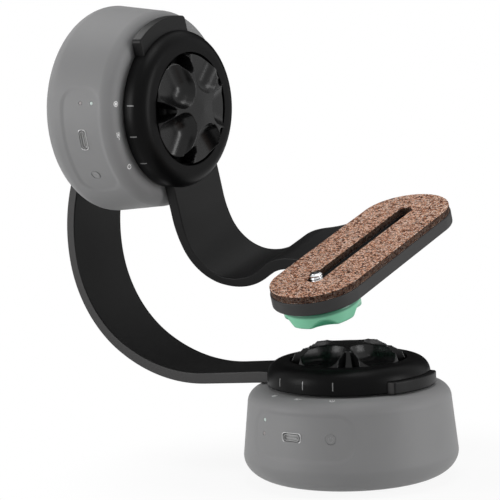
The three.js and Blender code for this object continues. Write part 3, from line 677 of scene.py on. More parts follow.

# %% [markdown]
# ## Port, button and lamps
#
# The charging port is a folded tube with a contact tongue in it. Tube, liner and tongue share one pale grey
# finish with a faint painted glow, which stands in for light reaching into the port, and a bright line
# painted round the opening stands for the highlight on its edge. The power button is a disc with a shallow
# dish, and its mark is a ring with a bar, the usual sign, laid on as paint. The lamps are pins with domed
# ends, a pale one over a dim one.

# %% The charging port
MOUTH = 50.06
PORT_LENGTH, PORT_WIDTH = 8.9, 3.2
outward_port = outward(PORT_AZIMUTH, CONTROLS_HEIGHT)
bezel_face = wall_radius(CONTROLS_HEIGHT) - PANEL_DEPTH
oblong = lambda length, width, corner=1.2: rectangle(width / 2, length / 2, corner, 6)
mouth_rows = [(0.0, 38.0), (0.0, MOUTH - 0.12), (0.035, MOUTH - 0.035), (0.12, MOUTH),
              (0.28, MOUTH), (0.365, MOUTH - 0.035), (0.4, MOUTH - 0.12), (0.4, 43.0)]
tongue_rows = [(0.36, 3.3, 43.0), (0.36, 3.3, 49.5), (0.22, 3.1, 49.8)]
bezel_rows = [(8.9, 3.3, -2.4), (8.95, 3.35, -1.6), (9.9, 4.0, -0.1), (9.9, 4.0, -3.0)]
line_rows = [(-0.2, -0.4), (-0.2, 0.03), (-0.14, 0.06), (0.14, 0.06), (0.2, 0.03), (0.2, -0.4)]
port_parts = [
    ("port_rim", [(stadium(PORT_LENGTH - 2 * inset, PORT_WIDTH - 2 * inset), z) for inset, z in mouth_rows],
     port_grey_painted_glow, False, 40, "port_steel", "usb_port"),
    ("port_tongue", [(rectangle(x, y, 0.15), z) for x, y, z in tongue_rows],
     port_grey_painted_glow, False, 40, "port_steel", None),
    ("port_bezel", [(oblong(long, short), bezel_face + z) for long, short, z in bezel_rows],
     grey_skin, True, 30, "grey_shell", None),
    # A painted highlight: a bright line round the opening's edge, where it catches the light.
    ("port_line", [(oblong(10.2 + grow, 4.3 + grow, 1.3), bezel_face + z) for grow, z in line_rows],
     icon_and_highlight_paint, True, 40, "grey_shell", None),
    ("port_liner", [(stadium(8.0, 2.3), z) for z in (42.9, MOUTH - 1.0)],
     port_grey_painted_glow, False, 40, "port_steel", None),
]
for name, rows, finish, closed, crisp, slot, node in port_parts:
    seat_on_heads(smooth(stacked(name, rows, finish, closed), crisp), name, slot, node, outward_port)
CONTACTS, CONTACT_PITCH, CONTACT_HALF = 12, 0.5, 0.13
box_faces = [(0, 1, 2, 3), (4, 5, 6, 7), (0, 1, 5, 4), (1, 2, 6, 5), (2, 3, 7, 6), (3, 0, 4, 7)]
contact_points, contact_faces = [], []
for side in (-1, 1):
    for pin in range(CONTACTS):
        y = -2.75 + CONTACT_PITCH * pin
        base = len(contact_points)
        for x in (0.34 * side, 0.385 * side):
            contact_points += [(x, y + across * CONTACT_HALF, z)
                               for across, z in ((-1, 44.0), (1, 44.0), (1, 48.2), (-1, 48.2))]
        contact_faces += [tuple(base + i for i in face) for face in box_faces]
contacts = mesh_piece("contacts", contact_points, contact_faces, brass)
seat_on_heads(contacts, "port_contacts", "port_steel", None, outward_port)
print("port with", len(contact_faces) // 6, "contacts")

# %% Strokes of paint
def ribbon(line, width, closed=False):
    """Quads of a painted stroke along a line of (u, v) points, as points and faces."""
    line = [Vector(point) for point in line]
    points, faces = [], []
    last = len(line) - 1
    for index, here in enumerate(line):
        before = line[index - 1] if index or closed else here
        after = line[(index + 1) % len(line)] if index < last or closed else here
        across = (after - before).normalized().orthogonal() * width / 2
        points += [here + across, here - across]
    for index in range(len(line) if closed else last):
        a, b = 2 * index, 2 * ((index + 1) % len(line))
        faces.append((a, a + 1, b + 1, b))
    return points, faces


def painted(name, strokes, to_space, finish):
    """One thin mesh from strokes in the (u, v) plane, laid on a surface by to_space(u, v)."""
    points, faces = [], []
    for stroke_points, stroke_faces in strokes:
        base = len(points)
        points += [to_space(u, v) for u, v in stroke_points]
        faces += [tuple(base + i for i in face) for face in stroke_faces]
    return mesh_piece(name, points, faces, finish)


circle = lambda radius, start=0, end=360, steps=32: arc((0, 0), radius, start, end, steps)
print("a ring stroke has", len(ribbon(circle(1.2)[:-1], 0.2, True)[1]), "faces")

# %% The power button and its mark
BUTTON_FACE = 50.04
dish = [(0.0, 40.5), (1.2, 40.5), (1.2, 46.2), (3.4, 46.2), (3.4, 47.3), (2.4, 47.3),
        (2.4, BUTTON_FACE - 0.25)]
dish += arc((2.15, BUTTON_FACE - 0.25), 0.25, 0, 90, 4)
dish += [(1.6, BUTTON_FACE - 0.06), (0.9, BUTTON_FACE - 0.1), (0.0, BUTTON_FACE - 0.11)]
button = smooth(turned("button", dish, grey_skin, 48, closed=False), 40)
outward_button = outward(BUTTON_AZIMUTH, CONTROLS_HEIGHT)
seat_on_heads(button, "button_cap", "grey_shell", "power_button", outward_button, body="button_body")
on_button = lambda u, v: (u, v, BUTTON_FACE - 0.1 + 0.07 * (math.hypot(u, v) / 1.6) ** 2)
power_strokes = [ribbon(circle(1.15, 215, 505, 28), 0.2), ribbon([(-1.55, 0), (-1.1, 0), (-0.5, 0)], 0.2)]
power_mark = painted("power_mark", power_strokes, on_button, faint_paint)
seat_on_heads(power_mark, "power_mark", "grey_shell", None, outward_button, body="button_body")
print("button face at", BUTTON_FACE, "mm from the axis")

# %% The lamps
LENS_RADIUS = 0.88
for which, height in lamp_heights.items():
    top = wall_radius(height) - PANEL_DEPTH + 0.02
    lens = [(0.0, 40.0), (LENS_RADIUS, 40.0), (LENS_RADIUS, top - 0.2)]
    lens += arc((0, top - 0.2), (LENS_RADIUS, 0.32), 20, 90, 6)
    lamp = smooth(turned("lens", lens, {"lower": lens_dim, "upper": lens_clear}[which], 32, closed=False), 40)
    seat_on_heads(lamp, f"{which}_lens", "lamp_lens", f"{which}_lamp", outward(LAMP_AZIMUTH, height))
print("lamps at", {which: round(height, 1) for which, height in lamp_heights.items()})

# %% [markdown]
# ## The marks over the controls
#
# Three small marks sit on the shoulder above the button, the port and the lamps. Here they are plain signs
# of paint: a dot in a ring for the lamps, a plug's outline for the port and a bar in a ring for the button.

# %% Marks on the shoulder
MARK_SLOPE, PAINT_LIFT = 81.5, 0.03


def on_shoulder(azimuth):
    """Lays a stroke's (u, v) on the round shoulder: u level, v up the curve."""
    def place(u, v):
        slope = math.radians(MARK_SLOPE) + v / SHOULDER_FILLET
        r = SHOULDER_RADIUS - SHOULDER_FILLET + (SHOULDER_FILLET + PAINT_LIFT) * math.cos(slope)
        height = SHOULDER_HEIGHT + (SHOULDER_FILLET + PAINT_LIFT) * math.sin(slope)
        return polar(r, math.radians(azimuth) + u / r, height)
    return place


plug_outline = [(-1.8, -0.8), (-1.8, 0.8), (0.4, 0.8), (0.4, -0.8)]
marks = {
    LAMP_AZIMUTH: [ribbon(circle(1.25)[:-1], 0.36, True), ribbon(circle(0.4)[:-1], 0.8, True)],
    PORT_AZIMUTH: [ribbon(plug_outline, 0.4, True), ribbon([(-1.4, 0), (-0.7, 0), (0, 0)], 0.7),
                   ribbon([(0.4, 0), (1.2, 0), (2.0, 0)], 0.4)],
    BUTTON_AZIMUTH: [ribbon(circle(1.1, 125, 415), 0.5), ribbon([(0, 0.2), (0, 0.8), (0, 1.5)], 0.5)],
}
for azimuth, strokes in marks.items():
    mark = painted("mark", strokes, on_shoulder(azimuth), icon_and_highlight_paint)
    seat_on_heads(mark, f"mark_{abs(azimuth)}", "grey_shell")
print("marks at", list(marks), "degrees")

# %% [markdown]
# ## The foot
#
# Underneath, a black foot plate carries a rubber ring and a brass socket with a tripod thread. Real threads
# are helices, and a skin can make one: each loop's radius follows a wave that turns once per pitch.

# %% Foot plate and rubber ring
FOOT_PLATE_RADIUS, RING_INSIDE, RING_OUTSIDE = 33.7, 21.008, 27.976
foot_outline = rounded([
    (5.7, 0.8, 0.2), (20.7, 0.8, 0.2), (20.7, 1.4, 0.1), (28.28, 1.4, 0.1), (28.28, 0.8, 0.2),
    (FOOT_PLATE_RADIUS, 0.8, 0.3), (FOOT_PLATE_RADIUS, 3.8, 0.3), (9.0, 3.8, 0.3), (9.0, 12.2, 0.3),
    (5.7, 12.2, 0.2)], 3)
foot_plate = smooth(turned("foot_plate", foot_outline, clamp_plastic, 180))
seat_on_heads(foot_plate, "foot_cover", "black_plastic", "foot_plate")
ring_outline = rounded([(RING_INSIDE, 0.0, 0.35), (RING_OUTSIDE, 0.0, 0.35), (RING_OUTSIDE, 1.1, 0.1),
                        (RING_INSIDE, 1.1, 0.1)], 4)
foot_ring = smooth(turned("foot_ring", ring_outline, foot_rubber, 180))
seat_on_heads(foot_ring, "foot_rubber_ring", "foot_rubber", "foot_ring")
print("foot plate radius", FOOT_PLATE_RADIUS, "mm, rubber ring", RING_INSIDE, "to", RING_OUTSIDE, "mm")

# %% Threads
INCH_THREAD_PITCH, FADE_TURNS = 1.27, 0.6


def thread_wave(turns):
    """1 on a thread's crest and 0 at its root, with flats on both."""
    share = abs(2 * (turns % 1.0) - 1)
    return min(max(1.5 * share - 0.25, 0.0), 1.0)


def thread_loops(crest, root, low, high, pitch, sides=36, rows_per_turn=9):
    """Loops up a threaded cylinder, faded to its crest over a part of the first and the last turn."""
    rows = round((high - low) / pitch * rows_per_turn)
    loops = []
    for row in range(rows + 1):
        z = low + (high - low) * row / rows
        fade = min(1.0, (z - low) / pitch / FADE_TURNS, (high - z) / pitch / FADE_TURNS)
        waves = [1 - fade * (1 - thread_wave(z / pitch - side / sides)) for side in range(sides)]
        loops.append([polar(root + (crest - root) * wave, math.tau * side / sides, z)
                      for side, wave in enumerate(waves)])
    return loops


socket_rows = [(4.5, 1.1), (5.3, 1.1), (5.4, 1.2), (5.4, 11.0), (5.3, 11.1), (4.3, 11.1)]
socket_loops = [circle_loop(r, z) for r, z in socket_rows]
socket_loops += thread_loops(4.22, 4.75, 1.4, 10.9, INCH_THREAD_PITCH)[::-1]
socket = smooth(skin("socket", socket_loops, brass, closed=True), 50)
seat_on_heads(socket, "threaded_socket", "brass_insert", "tripod_socket")
print("socket loops:", len(socket_loops))

# %% [markdown]
# ## The clamp disc
#
# A black moulded cap with a generous shoulder and a well for the knob. A channel under it lets the strap
# through, so it is turned as a ring and then cut. Its side wall has three short grey ticks on the near side
# and three on the far side.

# %% Clamp disc with its strap channel
DISC_RADIUS, DISC_FACE, DISC_SHOULDER, WELL_RADIUS = 39.416, 58.0, 7.5, 28.29
STRAP_WIDTH, CHANNEL_TOP = 38.0, 51.9
disc_outline = rounded([
    (10.0, 46.2, 0.2), (DISC_RADIUS, 46.2, 0.4), (DISC_RADIUS, DISC_FACE, DISC_SHOULDER),
    (WELL_RADIUS, DISC_FACE, 0.25), (WELL_RADIUS, 53.6, 0.5), (4.6, 53.6, 0.3), (4.6, CHANNEL_TOP, 0.1),
    (10.0, CHANNEL_TOP, 0.1)], 12)
disc = turned("disc", disc_outline, clamp_plastic, 240)
half = STRAP_WIDTH / 2 + 0.3
channel_outline = rounded([(-half, 40, 0), (half, 40, 0), (half, CHANNEL_TOP, 0.5),
                           (-half, CHANNEL_TOP, 0.5)], 4)
channel = skin("channel", [[(x, y, z) for y, z in channel_outline] for x in (-45.0, 45.0)], clamp_plastic)
cut(disc, channel)
smooth(disc, 30)
seat_on_heads(disc, "clamp_disc", "black_plastic", "disc", where="rotor")
print("disc:", len(disc.data.polygons), "faces")

# %% Ticks on the disc's side wall
def on_disc_wall(azimuth):
    """Lays a stroke on the disc's side: u along the rim and v up the wall and round the shoulder."""
    def place(u, v):
        over = max(0.0, v - (DISC_FACE - DISC_SHOULDER)) / DISC_SHOULDER
        r = DISC_RADIUS + PAINT_LIFT - DISC_SHOULDER * (1 - math.cos(over))
        height = v if not over else DISC_FACE - DISC_SHOULDER + DISC_SHOULDER * math.sin(over)
        return polar(r, math.radians(azimuth) + u / DISC_RADIUS, height)
    return place


tick_azimuths = [-112.5, -90, -67.5, 67.5, 90, 112.5]
tick_stroke = ribbon([(0, 48.7 + 0.5 * step) for step in range(9)], 0.5)
for number, azimuth in enumerate(tick_azimuths):
    tick = painted("tick", [tick_stroke], on_disc_wall(azimuth), mark_paint)
    seat_on_heads(tick, f"tick_{number}", "black_plastic", where="rotor")
print("ticks:", len(tick_azimuths) // 2, "on each side")

# %% [markdown]
# ## The clamp knob
#
# Five troughs run out through the knob's rim, for finger tips. A trough's floor is a wedge that opens
# toward the rim, and its walls curve up from that wedge on all sides, so each higher outline is the same
# wedge grown by a little more. Between two troughs a steep notch falls to the rim. Boolean cuts leave
# knife edges, which no moulded part has. A voxel remesh and a few rounds of smoothing melt them to a few
# tenths of a millimetre.

# %% Moulded edges for cut pieces
def moulded(piece, voxel, rounds, keep):
    """Rebuilds a cut piece with soft edges: voxels, smoothing, then fewer faces."""
    tuned(piece.modifiers.new("voxels", "REMESH"), mode="VOXEL", voxel_size=voxel * MM)
    tuned(piece.modifiers.new("softer", "SMOOTH"), factor=0.5, iterations=rounds)
    tuned(piece.modifiers.new("fewer", "DECIMATE"), ratio=keep)
    settle(piece)
    piece.data.shade_smooth()


# %% Outlines of a trough
def grown(corners, distance, steps=6):
    """A convex outline, counterclockwise, moved outward by a distance with round corners."""
    outline = []
    for index, (x, y) in enumerate(corners):
        before, after = Vector(corners[index - 1]), Vector(corners[(index + 1) % len(corners)])
        first = Vector((x, y)) - before
        second = after - Vector((x, y))
        start = math.degrees(math.atan2(-first.x, first.y))
        swing = math.degrees(first.angle_signed(second))
        outline += arc((x, y), distance, start, start - swing, steps)
    return outline


TROUGH_FLOOR, TROUGH_FILLET, TROUGH_STEEPEST, TOOL_TOP = 57.6, 7.5, 68, 72.0
trough_wedge = [(16.6, 1.3), (16.6, -1.3), (44.0, -12.2), (44.0, 12.2)]
trough_rows = [(0.02, TROUGH_FLOOR)]
trough_rows += arc((0, TROUGH_FLOOR + TROUGH_FILLET), TROUGH_FILLET, -84, TROUGH_STEEPEST - 90, 12)
wall_foot, wall_height = trough_rows[-1]
wall_rise = TOOL_TOP - wall_height
trough_rows.append((wall_foot + wall_rise / math.tan(math.radians(TROUGH_STEEPEST)), TOOL_TOP))
trough_loops = [[(x, y, z) for x, y in grown(trough_wedge, distance)] for distance, z in trough_rows]
print("a trough grows from its floor by", round(trough_rows[-2][0], 1), "mm before its steep wall")

# %% Knob with five troughs
KNOB_RADIUS, KNOB_FOOT, KNOB_TOP = 27.394, 53.9, 66.0
knob_outline = rounded([(0, 63.0, 0), (4.3, 63.0, 0), (4.3, KNOB_FOOT, 0), (KNOB_RADIUS, KNOB_FOOT, 0.3),
                        (KNOB_RADIUS, 57.7, 1.0), (24.9, 63.8, 1.6), (0, KNOB_TOP, 0)], 10)
knob = turned("knob", knob_outline, knob_plastic, 200)
notch_rows = [(18.8, 0.4, 65.9), (20.2, 1.5, 58.0), (22.0, 2.6, 53.0), (24.5, 4.0, 52.0),
              (27.4, 5.4, 52.0), (31.0, 7.2, 52.0)]
notch_loops = [[(x, -half, foot), (x, half, foot), (x, half + 0.6, TOOL_TOP), (x, -half - 0.6, TOOL_TOP)]
               for x, half, foot in notch_rows]
tools = []
for index in range(5):
    for offset, loops in ((0, trough_loops), (36, notch_loops)):
        tool = skin("tool", loops, knob_plastic)
        tool.matrix_world = turn(72 * index + offset, "Z")
        tools.append(tool)
cut(knob, *tools)
moulded(knob, 0.25, 3, 0.4)
seat_on_heads(knob, "finger_knob", "knob_plastic", "knob", where="knob")
print("knob:", len(knob.data.polygons), "faces")

# %% [markdown]
# ## The two straps
#
# Each strap is a flat bar that a press bends. Blender can follow the same steps: draw the flat pattern as a
# 2D curve with its holes, let the curve's own extrude and bevel give thickness and rounded edges, cut the
# flat mesh across at many stations, and then bend it by moving every point onto the bent centre line. A
# Curve modifier would bend it too, but it can't change the bar's thickness on the way.

# %% A flat bar from its pattern
def flat_bar(name, outlines, thickness, edge, finish):
    """A bar in the z = 0 plane from outer and hole outlines, with edges rounded to a radius."""
    curve = tuned(bpy.data.curves.new(name, "CURVE"), dimensions="2D", fill_mode="BOTH",
                  extrude=(thickness / 2 - edge) * MM, bevel_depth=edge * MM, bevel_resolution=3,
                  offset=-edge * MM)
    for outline in outlines:
        spline = curve.splines.new("POLY")
        spline.points.add(len(outline) - 1)
        for point, (x, y) in zip(spline.points, outline):
            point.co = (x * MM, y * MM, 0, 1)
        spline.use_cyclic_u = True
    drawing = placed(name, curve)
    mesh = evaluated_mesh(drawing)
    bpy.data.objects.remove(drawing)
    mesh.materials.clear()
    mesh.materials.append(finish)
    return placed(name, mesh)


# %% Bent centre lines
def along_bend(x, z, heading, radius, swing):
    """Place and heading after a swing in radians; a negative radius bends down."""
    ahead = heading + swing
    x += radius * (math.sin(ahead) - math.sin(heading))
    z -= radius * (math.cos(ahead) - math.cos(heading))
    return x, z, ahead


def centre_line(start, moves):
    """Sections of a centre line that starts level: (travel, x, z, heading, radius or None)."""
    travel, x, z, heading = 0.0, *start, 0.0
    sections = []
    for radius, amount in moves:
        sections.append((travel, x, z, heading, radius and math.copysign(radius, amount)))
        if not radius:
            x, z, travel = x + amount * math.cos(heading), z + amount * math.sin(heading), travel + amount
            continue
        signed, swing = math.copysign(radius, amount), math.radians(amount)
        x, z, heading = along_bend(x, z, heading, signed, swing)
        travel += abs(signed * swing)
    sections.append((travel, x, z, heading, None))
    return sections


def point_on(sections, travel):
    """Place and heading of the centre line after some travel."""
    start, x, z, heading, radius = [s for s in sections if s[0] <= travel or s is sections[0]][-1]
    along = travel - start
    if not radius:
        return x + along * math.cos(heading), z + along * math.sin(heading), heading
    return along_bend(x, z, heading, radius, along / radius)


def bent(bar, sections, swell):
    """Cuts a flat bar across every 2 degrees of bend and lays it along a centre line."""
    mesh = bmesh.new()
    mesh.from_mesh(bar.data)
    bmesh.ops.remove_doubles(mesh, verts=mesh.verts, dist=1e-6)
    for section, after in zip(sections, sections[1:]):
        degrees = abs(math.degrees(after[3] - section[3]))
        steps = max(1, math.ceil(degrees / 2))
        for step in range(steps):
            travel = section[0] + (after[0] - section[0]) * step / steps
            bmesh.ops.bisect_plane(mesh, geom=mesh.verts[:] + mesh.edges[:] + mesh.faces[:], dist=1e-7,
                                   plane_co=(travel * MM, 0, 0), plane_no=(1, 0, 0))
    for vert in mesh.verts:
        travel, across, lift = (v / MM for v in vert.co)
        x, z, heading = point_on(sections, travel)
        lift *= swell(travel)
        vert.co = Vector((x - lift * math.sin(heading), across, z + lift * math.cos(heading))) * MM
    mesh.to_mesh(bar.data)
    mesh.free()
    smooth(bar, 35)
    tuned(bar.modifiers.new("weighted", "WEIGHTED_NORMAL"), keep_sharp=True)
    settle(bar)


blend = lambda low, high, share: low + (high - low) * min(1, max(0, share))


def foot_end(reach, corner=2.2):
    """A strap's end round about the turntable's axis, with round corners at both sides."""
    y = STRAP_WIDTH / 2 - corner
    x = -math.sqrt((reach - corner) ** 2 - y ** 2)
    swing = math.degrees(math.atan2(y, -x))
    upper = arc((reach + x, y), corner, 90, 180 - swing, 6)
    lower = arc((reach + x, -y), corner, 180 + swing, 270, 6)
    return upper + arc((reach, 0), reach, 180 - swing, 180 + swing, 12)[1:-1] + lower


BOSS_RADIUS, STRAP_HEIGHT, BAR_THICKNESS = 10, 48.7, 5.8
boss_hole = lambda reach: arc((reach, 0), BOSS_RADIUS, 0, 357, 119)[::-1]
LONG_FOOT, HOOK_FOOT = 42.316, 46.516
print("foot ends reach", LONG_FOOT, "and", HOOK_FOOT, "mm past their axes")

# %% The long strap that carries the tilt head
RISE = TILT_AXIS_HEIGHT - STRAP_HEIGHT
HALF_STRAP = STRAP_WIDTH / 2
long_straight = LONG_FOOT + 36.016
long_moves = [(None, long_straight), (0.4658 * RISE, -5.3), (None, 0.2508 * RISE), (0.6522 * RISE, 36.2),
              (0.4915 * RISE, 49.4), (0.6234 * RISE, 28.2), (0.1941 * RISE, -18.5)]
long_line = centre_line((-LONG_FOOT, STRAP_HEIGHT), long_moves)
crown_travel = long_line[-1][0] + TILT_AXIS_HEIGHT - long_line[-1][2]
long_pattern = foot_end(LONG_FOOT) + arc((crown_travel, 0), HALF_STRAP, -90, 90, 60)
long_hole = arc((crown_travel, 0), 4.2, 0, 352.5, 47)[::-1]
long_strap = flat_bar("long_strap", [long_pattern, boss_hole(LONG_FOOT), long_hole], BAR_THICKNESS, 0.7,
                      powder_coat)
thin_from, thin_to = long_straight, long_straight + 0.2508 * RISE + 0.6522 * RISE
bent(long_strap, long_line,
     lambda t: blend(1, 5 / BAR_THICKNESS, (t - thin_from) / (thin_to - thin_from)))
# The long strap's narrow sides get the painted highlight.
second_finish(long_strap, painted_highlight_edge, lambda polygon: abs(polygon.normal.y) > 0.8)
seat(long_strap, pan_rotor, "pan_turn", "arm_black", "pan_arm")
print("long strap ends at x =", round(long_line[-1][1], 2), "of", round(crown_travel + HALF_STRAP, 1),
      "mm of bar")

# %% The hooked strap with the camera plate
DROP = TILT_AXIS_HEIGHT - KNOB_TOP
PLATE_REACH, PLATE_SHIFT, PLATE_LENGTH, PLATE_WIDTH = -tilt_head_foot / MM, -5.0, 128.0, 46.0
SLOT_LENGTH, SLOT_WIDTH, WAIST_THICKNESS, PLATE_THICKNESS = 91, 7, 4.4, 6.2
hook_run = 0.4708 * DROP
hook_moves = [(None, HOOK_FOOT + hook_run), (hook_run, 16.9), (0.2234 * DROP, 63),
              (0.2986 * DROP, 47.5), (0.2235 * DROP, -37.4)]
hook_line = centre_line((-HOOK_FOOT, STRAP_HEIGHT), hook_moves)
plate_travel = hook_line[-1][0] + PLATE_REACH - hook_line[-1][2]
radius = PLATE_WIDTH / 2
near = plate_travel - radius
far_end = (plate_travel, PLATE_SHIFT + PLATE_LENGTH / 2 - radius)
near_end = (plate_travel, PLATE_SHIFT - PLATE_LENGTH / 2 + radius)
inner, inner_far = 4.0, 20.0
hook_pattern = foot_end(HOOK_FOOT) + arc((near - inner, -HALF_STRAP - inner), inner, 90, 0, 8)
hook_pattern += arc(near_end, radius, 180, 360, 60) + arc(far_end, radius, 0, 180, 60)
hook_pattern += arc((near - inner_far, HALF_STRAP + inner_far), inner_far, 0, -90, 16)
slot_hole = stadium(SLOT_LENGTH, SLOT_WIDTH, 24, (plate_travel, PLATE_SHIFT))[::-1]
hooked_strap = flat_bar("hooked_strap", [hook_pattern, boss_hole(HOOK_FOOT), slot_hole], BAR_THICKNESS,
                        0.6, powder_coat)
bend_start, plate_start = hook_line[1][0], hook_line[-1][0]
waist = (HOOK_FOOT + hook_run + plate_start) / 2
thin, thick = WAIST_THICKNESS / BAR_THICKNESS, PLATE_THICKNESS / BAR_THICKNESS


def on_plate_edge(polygon):
    """Whether a face belongs to the plate's outer side wall, not to its faces or to the slot's wall."""
    x, y, z = polygon.center / MM
    in_slot = abs(z - PLATE_REACH) < SLOT_WIDTH / 2 + 1 and abs(y - PLATE_SHIFT) < SLOT_LENGTH / 2 + 1
    return z > PLATE_REACH - radius and abs(polygon.normal.x) < 0.9 and not in_slot


bent(hooked_strap, hook_line, lambda t: (
    blend(1, thin, (t - bend_start) / (waist - bend_start)) if t < waist
    else blend(thin, thick, (t - waist) / (plate_start - waist))))
# The plate's outer side wall gets the painted highlight.
second_finish(hooked_strap, painted_highlight_edge, on_plate_edge)
seat(hooked_strap, tilt_rotor, "tilt_turn", "arm_black", "tilt_arm")
print("plate centre at x =", round(hook_line[-1][1], 2), "and z =", round(PLATE_REACH, 2), "mm")

# %% [markdown]
# ## The camera plate's cork, screw and knob
#
# A cork sheet with rounded corners is glued on the plate. The camera screw stands in the slot, its washer
# slides under the plate, and a green knob with five scallops turns it. A flange keeps the scallops from
# running out at the top.

# %% Cork sheet
plate_top = hook_line[-1][1] - 3.1
CORK_FACE = plate_top - 0.3 - 3.1
on_plate = tilt_rotor @ shift(0, PLATE_SHIFT, PLATE_REACH) @ turn(90, "Y")
cork_outlines = [stadium(127.2, 45.2, 48), stadium(91.4, 7.4, 24)[::-1]]
cork_sheet = flat_bar("cork_sheet", cork_outlines, 3.4, 0.3, cork_crumbs)
# The sheet's cut sides, outline and slot, get the painted shade.
second_finish(cork_sheet, cork_painted_shade, lambda polygon: abs(polygon.normal.z) < 0.5)
smooth(cork_sheet, 40)
cork_place = on_plate @ shift(0, 0, plate_top - 1.7)
seat(cork_sheet, cork_place, "tilt_turn", "cork", "cork_pad")
print("cork face at x =", round(CORK_FACE, 2), "mm")

# %% Camera screw and washer
SCREW_SHIFT = -40.8
plate_foot = hook_line[-1][1] + 3.1
on_screw = on_plate @ shift(0, SCREW_SHIFT, 0)
tip, screw_foot = CORK_FACE - 2.4, 83.186
screw_loops = [circle_loop(1.9, tip), circle_loop(2.3, tip + 0.05), circle_loop(2.95, tip + 0.55)]
screw_loops += thread_loops(3.1, 2.62, tip + 0.7, screw_foot, INCH_THREAD_PITCH)
camera_screw = smooth(skin("camera_screw", screw_loops, chrome), 50)
seat(camera_screw, on_screw, "camera_clamp", "camera_screw_steel", "camera_screw")
washer_outline = rounded([(3.4, plate_foot + 0.3, 0.15), (9.0, plate_foot + 0.3, 0.3),
                          (9.0, plate_foot + 1.3, 0.3), (3.4, plate_foot + 1.3, 0.15)], 3)
washer = smooth(turned("washer", washer_outline, steel, 96))
seat(washer, on_screw, "camera_slide", "camera_screw_steel", "camera_washer")
print("screw from", round(tip, 2), "to", round(screw_foot, 2), "mm")

# %% Green knob with scallops under a flange
GRIP_TOP = plate_foot + 1.6
GRIP_RADIUS, GRIP_HEIGHT, SCALLOP_RADIUS = 18.6, 7.6, 13.6
SCALLOP_REACH, FLANGE_HEIGHT, GRIP_HOLE = 27.9, 3.0, 3.4
mint = mint_plastic(on_screw @ Vector((0, 0, GRIP_TOP * MM)), on_screw.to_3x3() @ Vector((0, 0, 1)),
                    GRIP_RADIUS * MM, GRIP_HEIGHT * MM)
grip_outline = [(0, GRIP_TOP + 5.2), (GRIP_HOLE, GRIP_TOP + 5.2), (GRIP_HOLE, GRIP_TOP)]
grip_outline += arc((GRIP_RADIUS - 0.8, GRIP_TOP + 0.8), 0.8, -90, 0, 4)
grip_outline += arc((GRIP_RADIUS - 1.6, GRIP_TOP + GRIP_HEIGHT - 1.6), 1.6, 0, 90, 6)
grip_outline += [(0, GRIP_TOP + GRIP_HEIGHT)]
grip = turned("grip", grip_outline, mint, 160, closed=False)
scallop_side = rounded([(0, 0, 0), (9.4, 0, 2.5), (SCALLOP_RADIUS, 5.0, 4.0), (SCALLOP_RADIUS + 0.6, 9, 0),
                        (0, 9, 0)], 8)
scallops = []
for index in range(5):
    scallop = turned("scallop", scallop_side, mint, 72)
    scallop.matrix_world = turn(20 + 72 * index, "Z") @ shift(SCALLOP_REACH, 0, GRIP_TOP + FLANGE_HEIGHT)
    scallops.append(scallop)
cut(grip, *scallops)
moulded(grip, 0.26, 3, 0.4)
seat(grip, on_screw, "camera_clamp", "green_plastic", "camera_knob")
print("green knob:", len(grip.data.polygons), "faces")

# %% The screw that holds the tilt head
on_crown = pan_rotor @ shift(long_line[-1][1], 0, TILT_AXIS_HEIGHT) @ turn(90, "Y")
BOLT_HEAD, BOLT_RADIUS = 9.5, 3.9
bolt_outline = rounded([(0, -10.6, 0), (3.3, -10.6, 0), (BOLT_RADIUS, -10.0, 0), (BOLT_RADIUS, 2.8, 0),
                        (BOLT_HEAD, 2.8, 0.4), (BOLT_HEAD, 6.8, 0.9), (0, 6.8, 0)], 5)
bolt = turned("bolt", bolt_outline, black_screw, 96)
hex_outline = circle(4.2, 0, 300, 5)
hex_tool = stacked("hex", [(hex_outline, z) for z in (4.4, 9.0)], black_screw)
cut(bolt, hex_tool)
smooth(bolt, 30)
seat(bolt, on_crown, "pan_turn", "black_metal", "arm_screw")
print("bolt head", 2 * BOLT_HEAD, "mm across")

# %% [markdown]
# ## Finishes for the pieces that stay as they are
#
# Boards, battery, motor, chassis, bearing, turntable and the knob's screw are inside the heads or hardly
# seen. Their solids are right as they are, so each only gets a finish in place of its plain colour.

# %% Dress the inner pieces
inner_finishes = {
    "main_board": board_green, "port_board": board_green, "battery": battery_blue, "motor": motor_steel,
    "chassis": black_screw, "bearing": steel, "turntable": black_screw, "knob_screw": steel,
}
for head in heads:
    for part, finish in inner_finishes.items():
        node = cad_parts[f"{head}_{part}"]
        node.data.materials.clear()
        node.data.materials.append(finish)
print("dressed", len(inner_finishes) * len(heads), "inner pieces")

# %% [markdown]
# ## Light, floor and background
#
# Four softboxes light the bracket evenly: one from the camera's left, one from the right that draws the
# rims, one overhead and a small one from the far left. The world behind is plain white for the camera and
# for reflections, and a dimmer white for everything else, so it fills shadows without washing the colours
# out.

# %% Softboxes
LIGHT_DISTANCE = 1.0
MIDDLE = Vector((-0.03, 0, 0.11))


def softbox(name, azimuth, elevation, size, power):
    """An area light that looks at the bracket's middle from an azimuth and an elevation."""
    data = tuned(bpy.data.lights.new(name, "AREA"), shape="RECTANGLE", size=size[0], size_y=size[1],
                 energy=power)
    a, e = math.radians(azimuth), math.radians(elevation)
    away = Vector((math.sin(a) * math.cos(e), -math.cos(a) * math.cos(e), math.sin(e)))
    facing = away.to_track_quat("Z", "Y").to_matrix().to_4x4()
    placed(name, data).matrix_world = Matrix.Translation(MIDDLE + away * LIGHT_DISTANCE) @ facing


softbox("left_softbox", -36, 9, (0.35, 0.54), 5.2)
softbox("rim_softbox", 105, 9, (0.3, 0.54), 4.6)
softbox("top_softbox", 60, 80, (0.45, 0.45), 3.2)
softbox("far_left_softbox", -100, 48, (0.3, 0.3), 1.6)

# %% [markdown]
# ## A black card
#
# Black pieces before a white background mirror too much white. A photographer hangs a black card where
# the mirrored light comes from. This one stands behind the bracket on the left. Only reflections see it,
# and it darkens the clamp discs' faces.

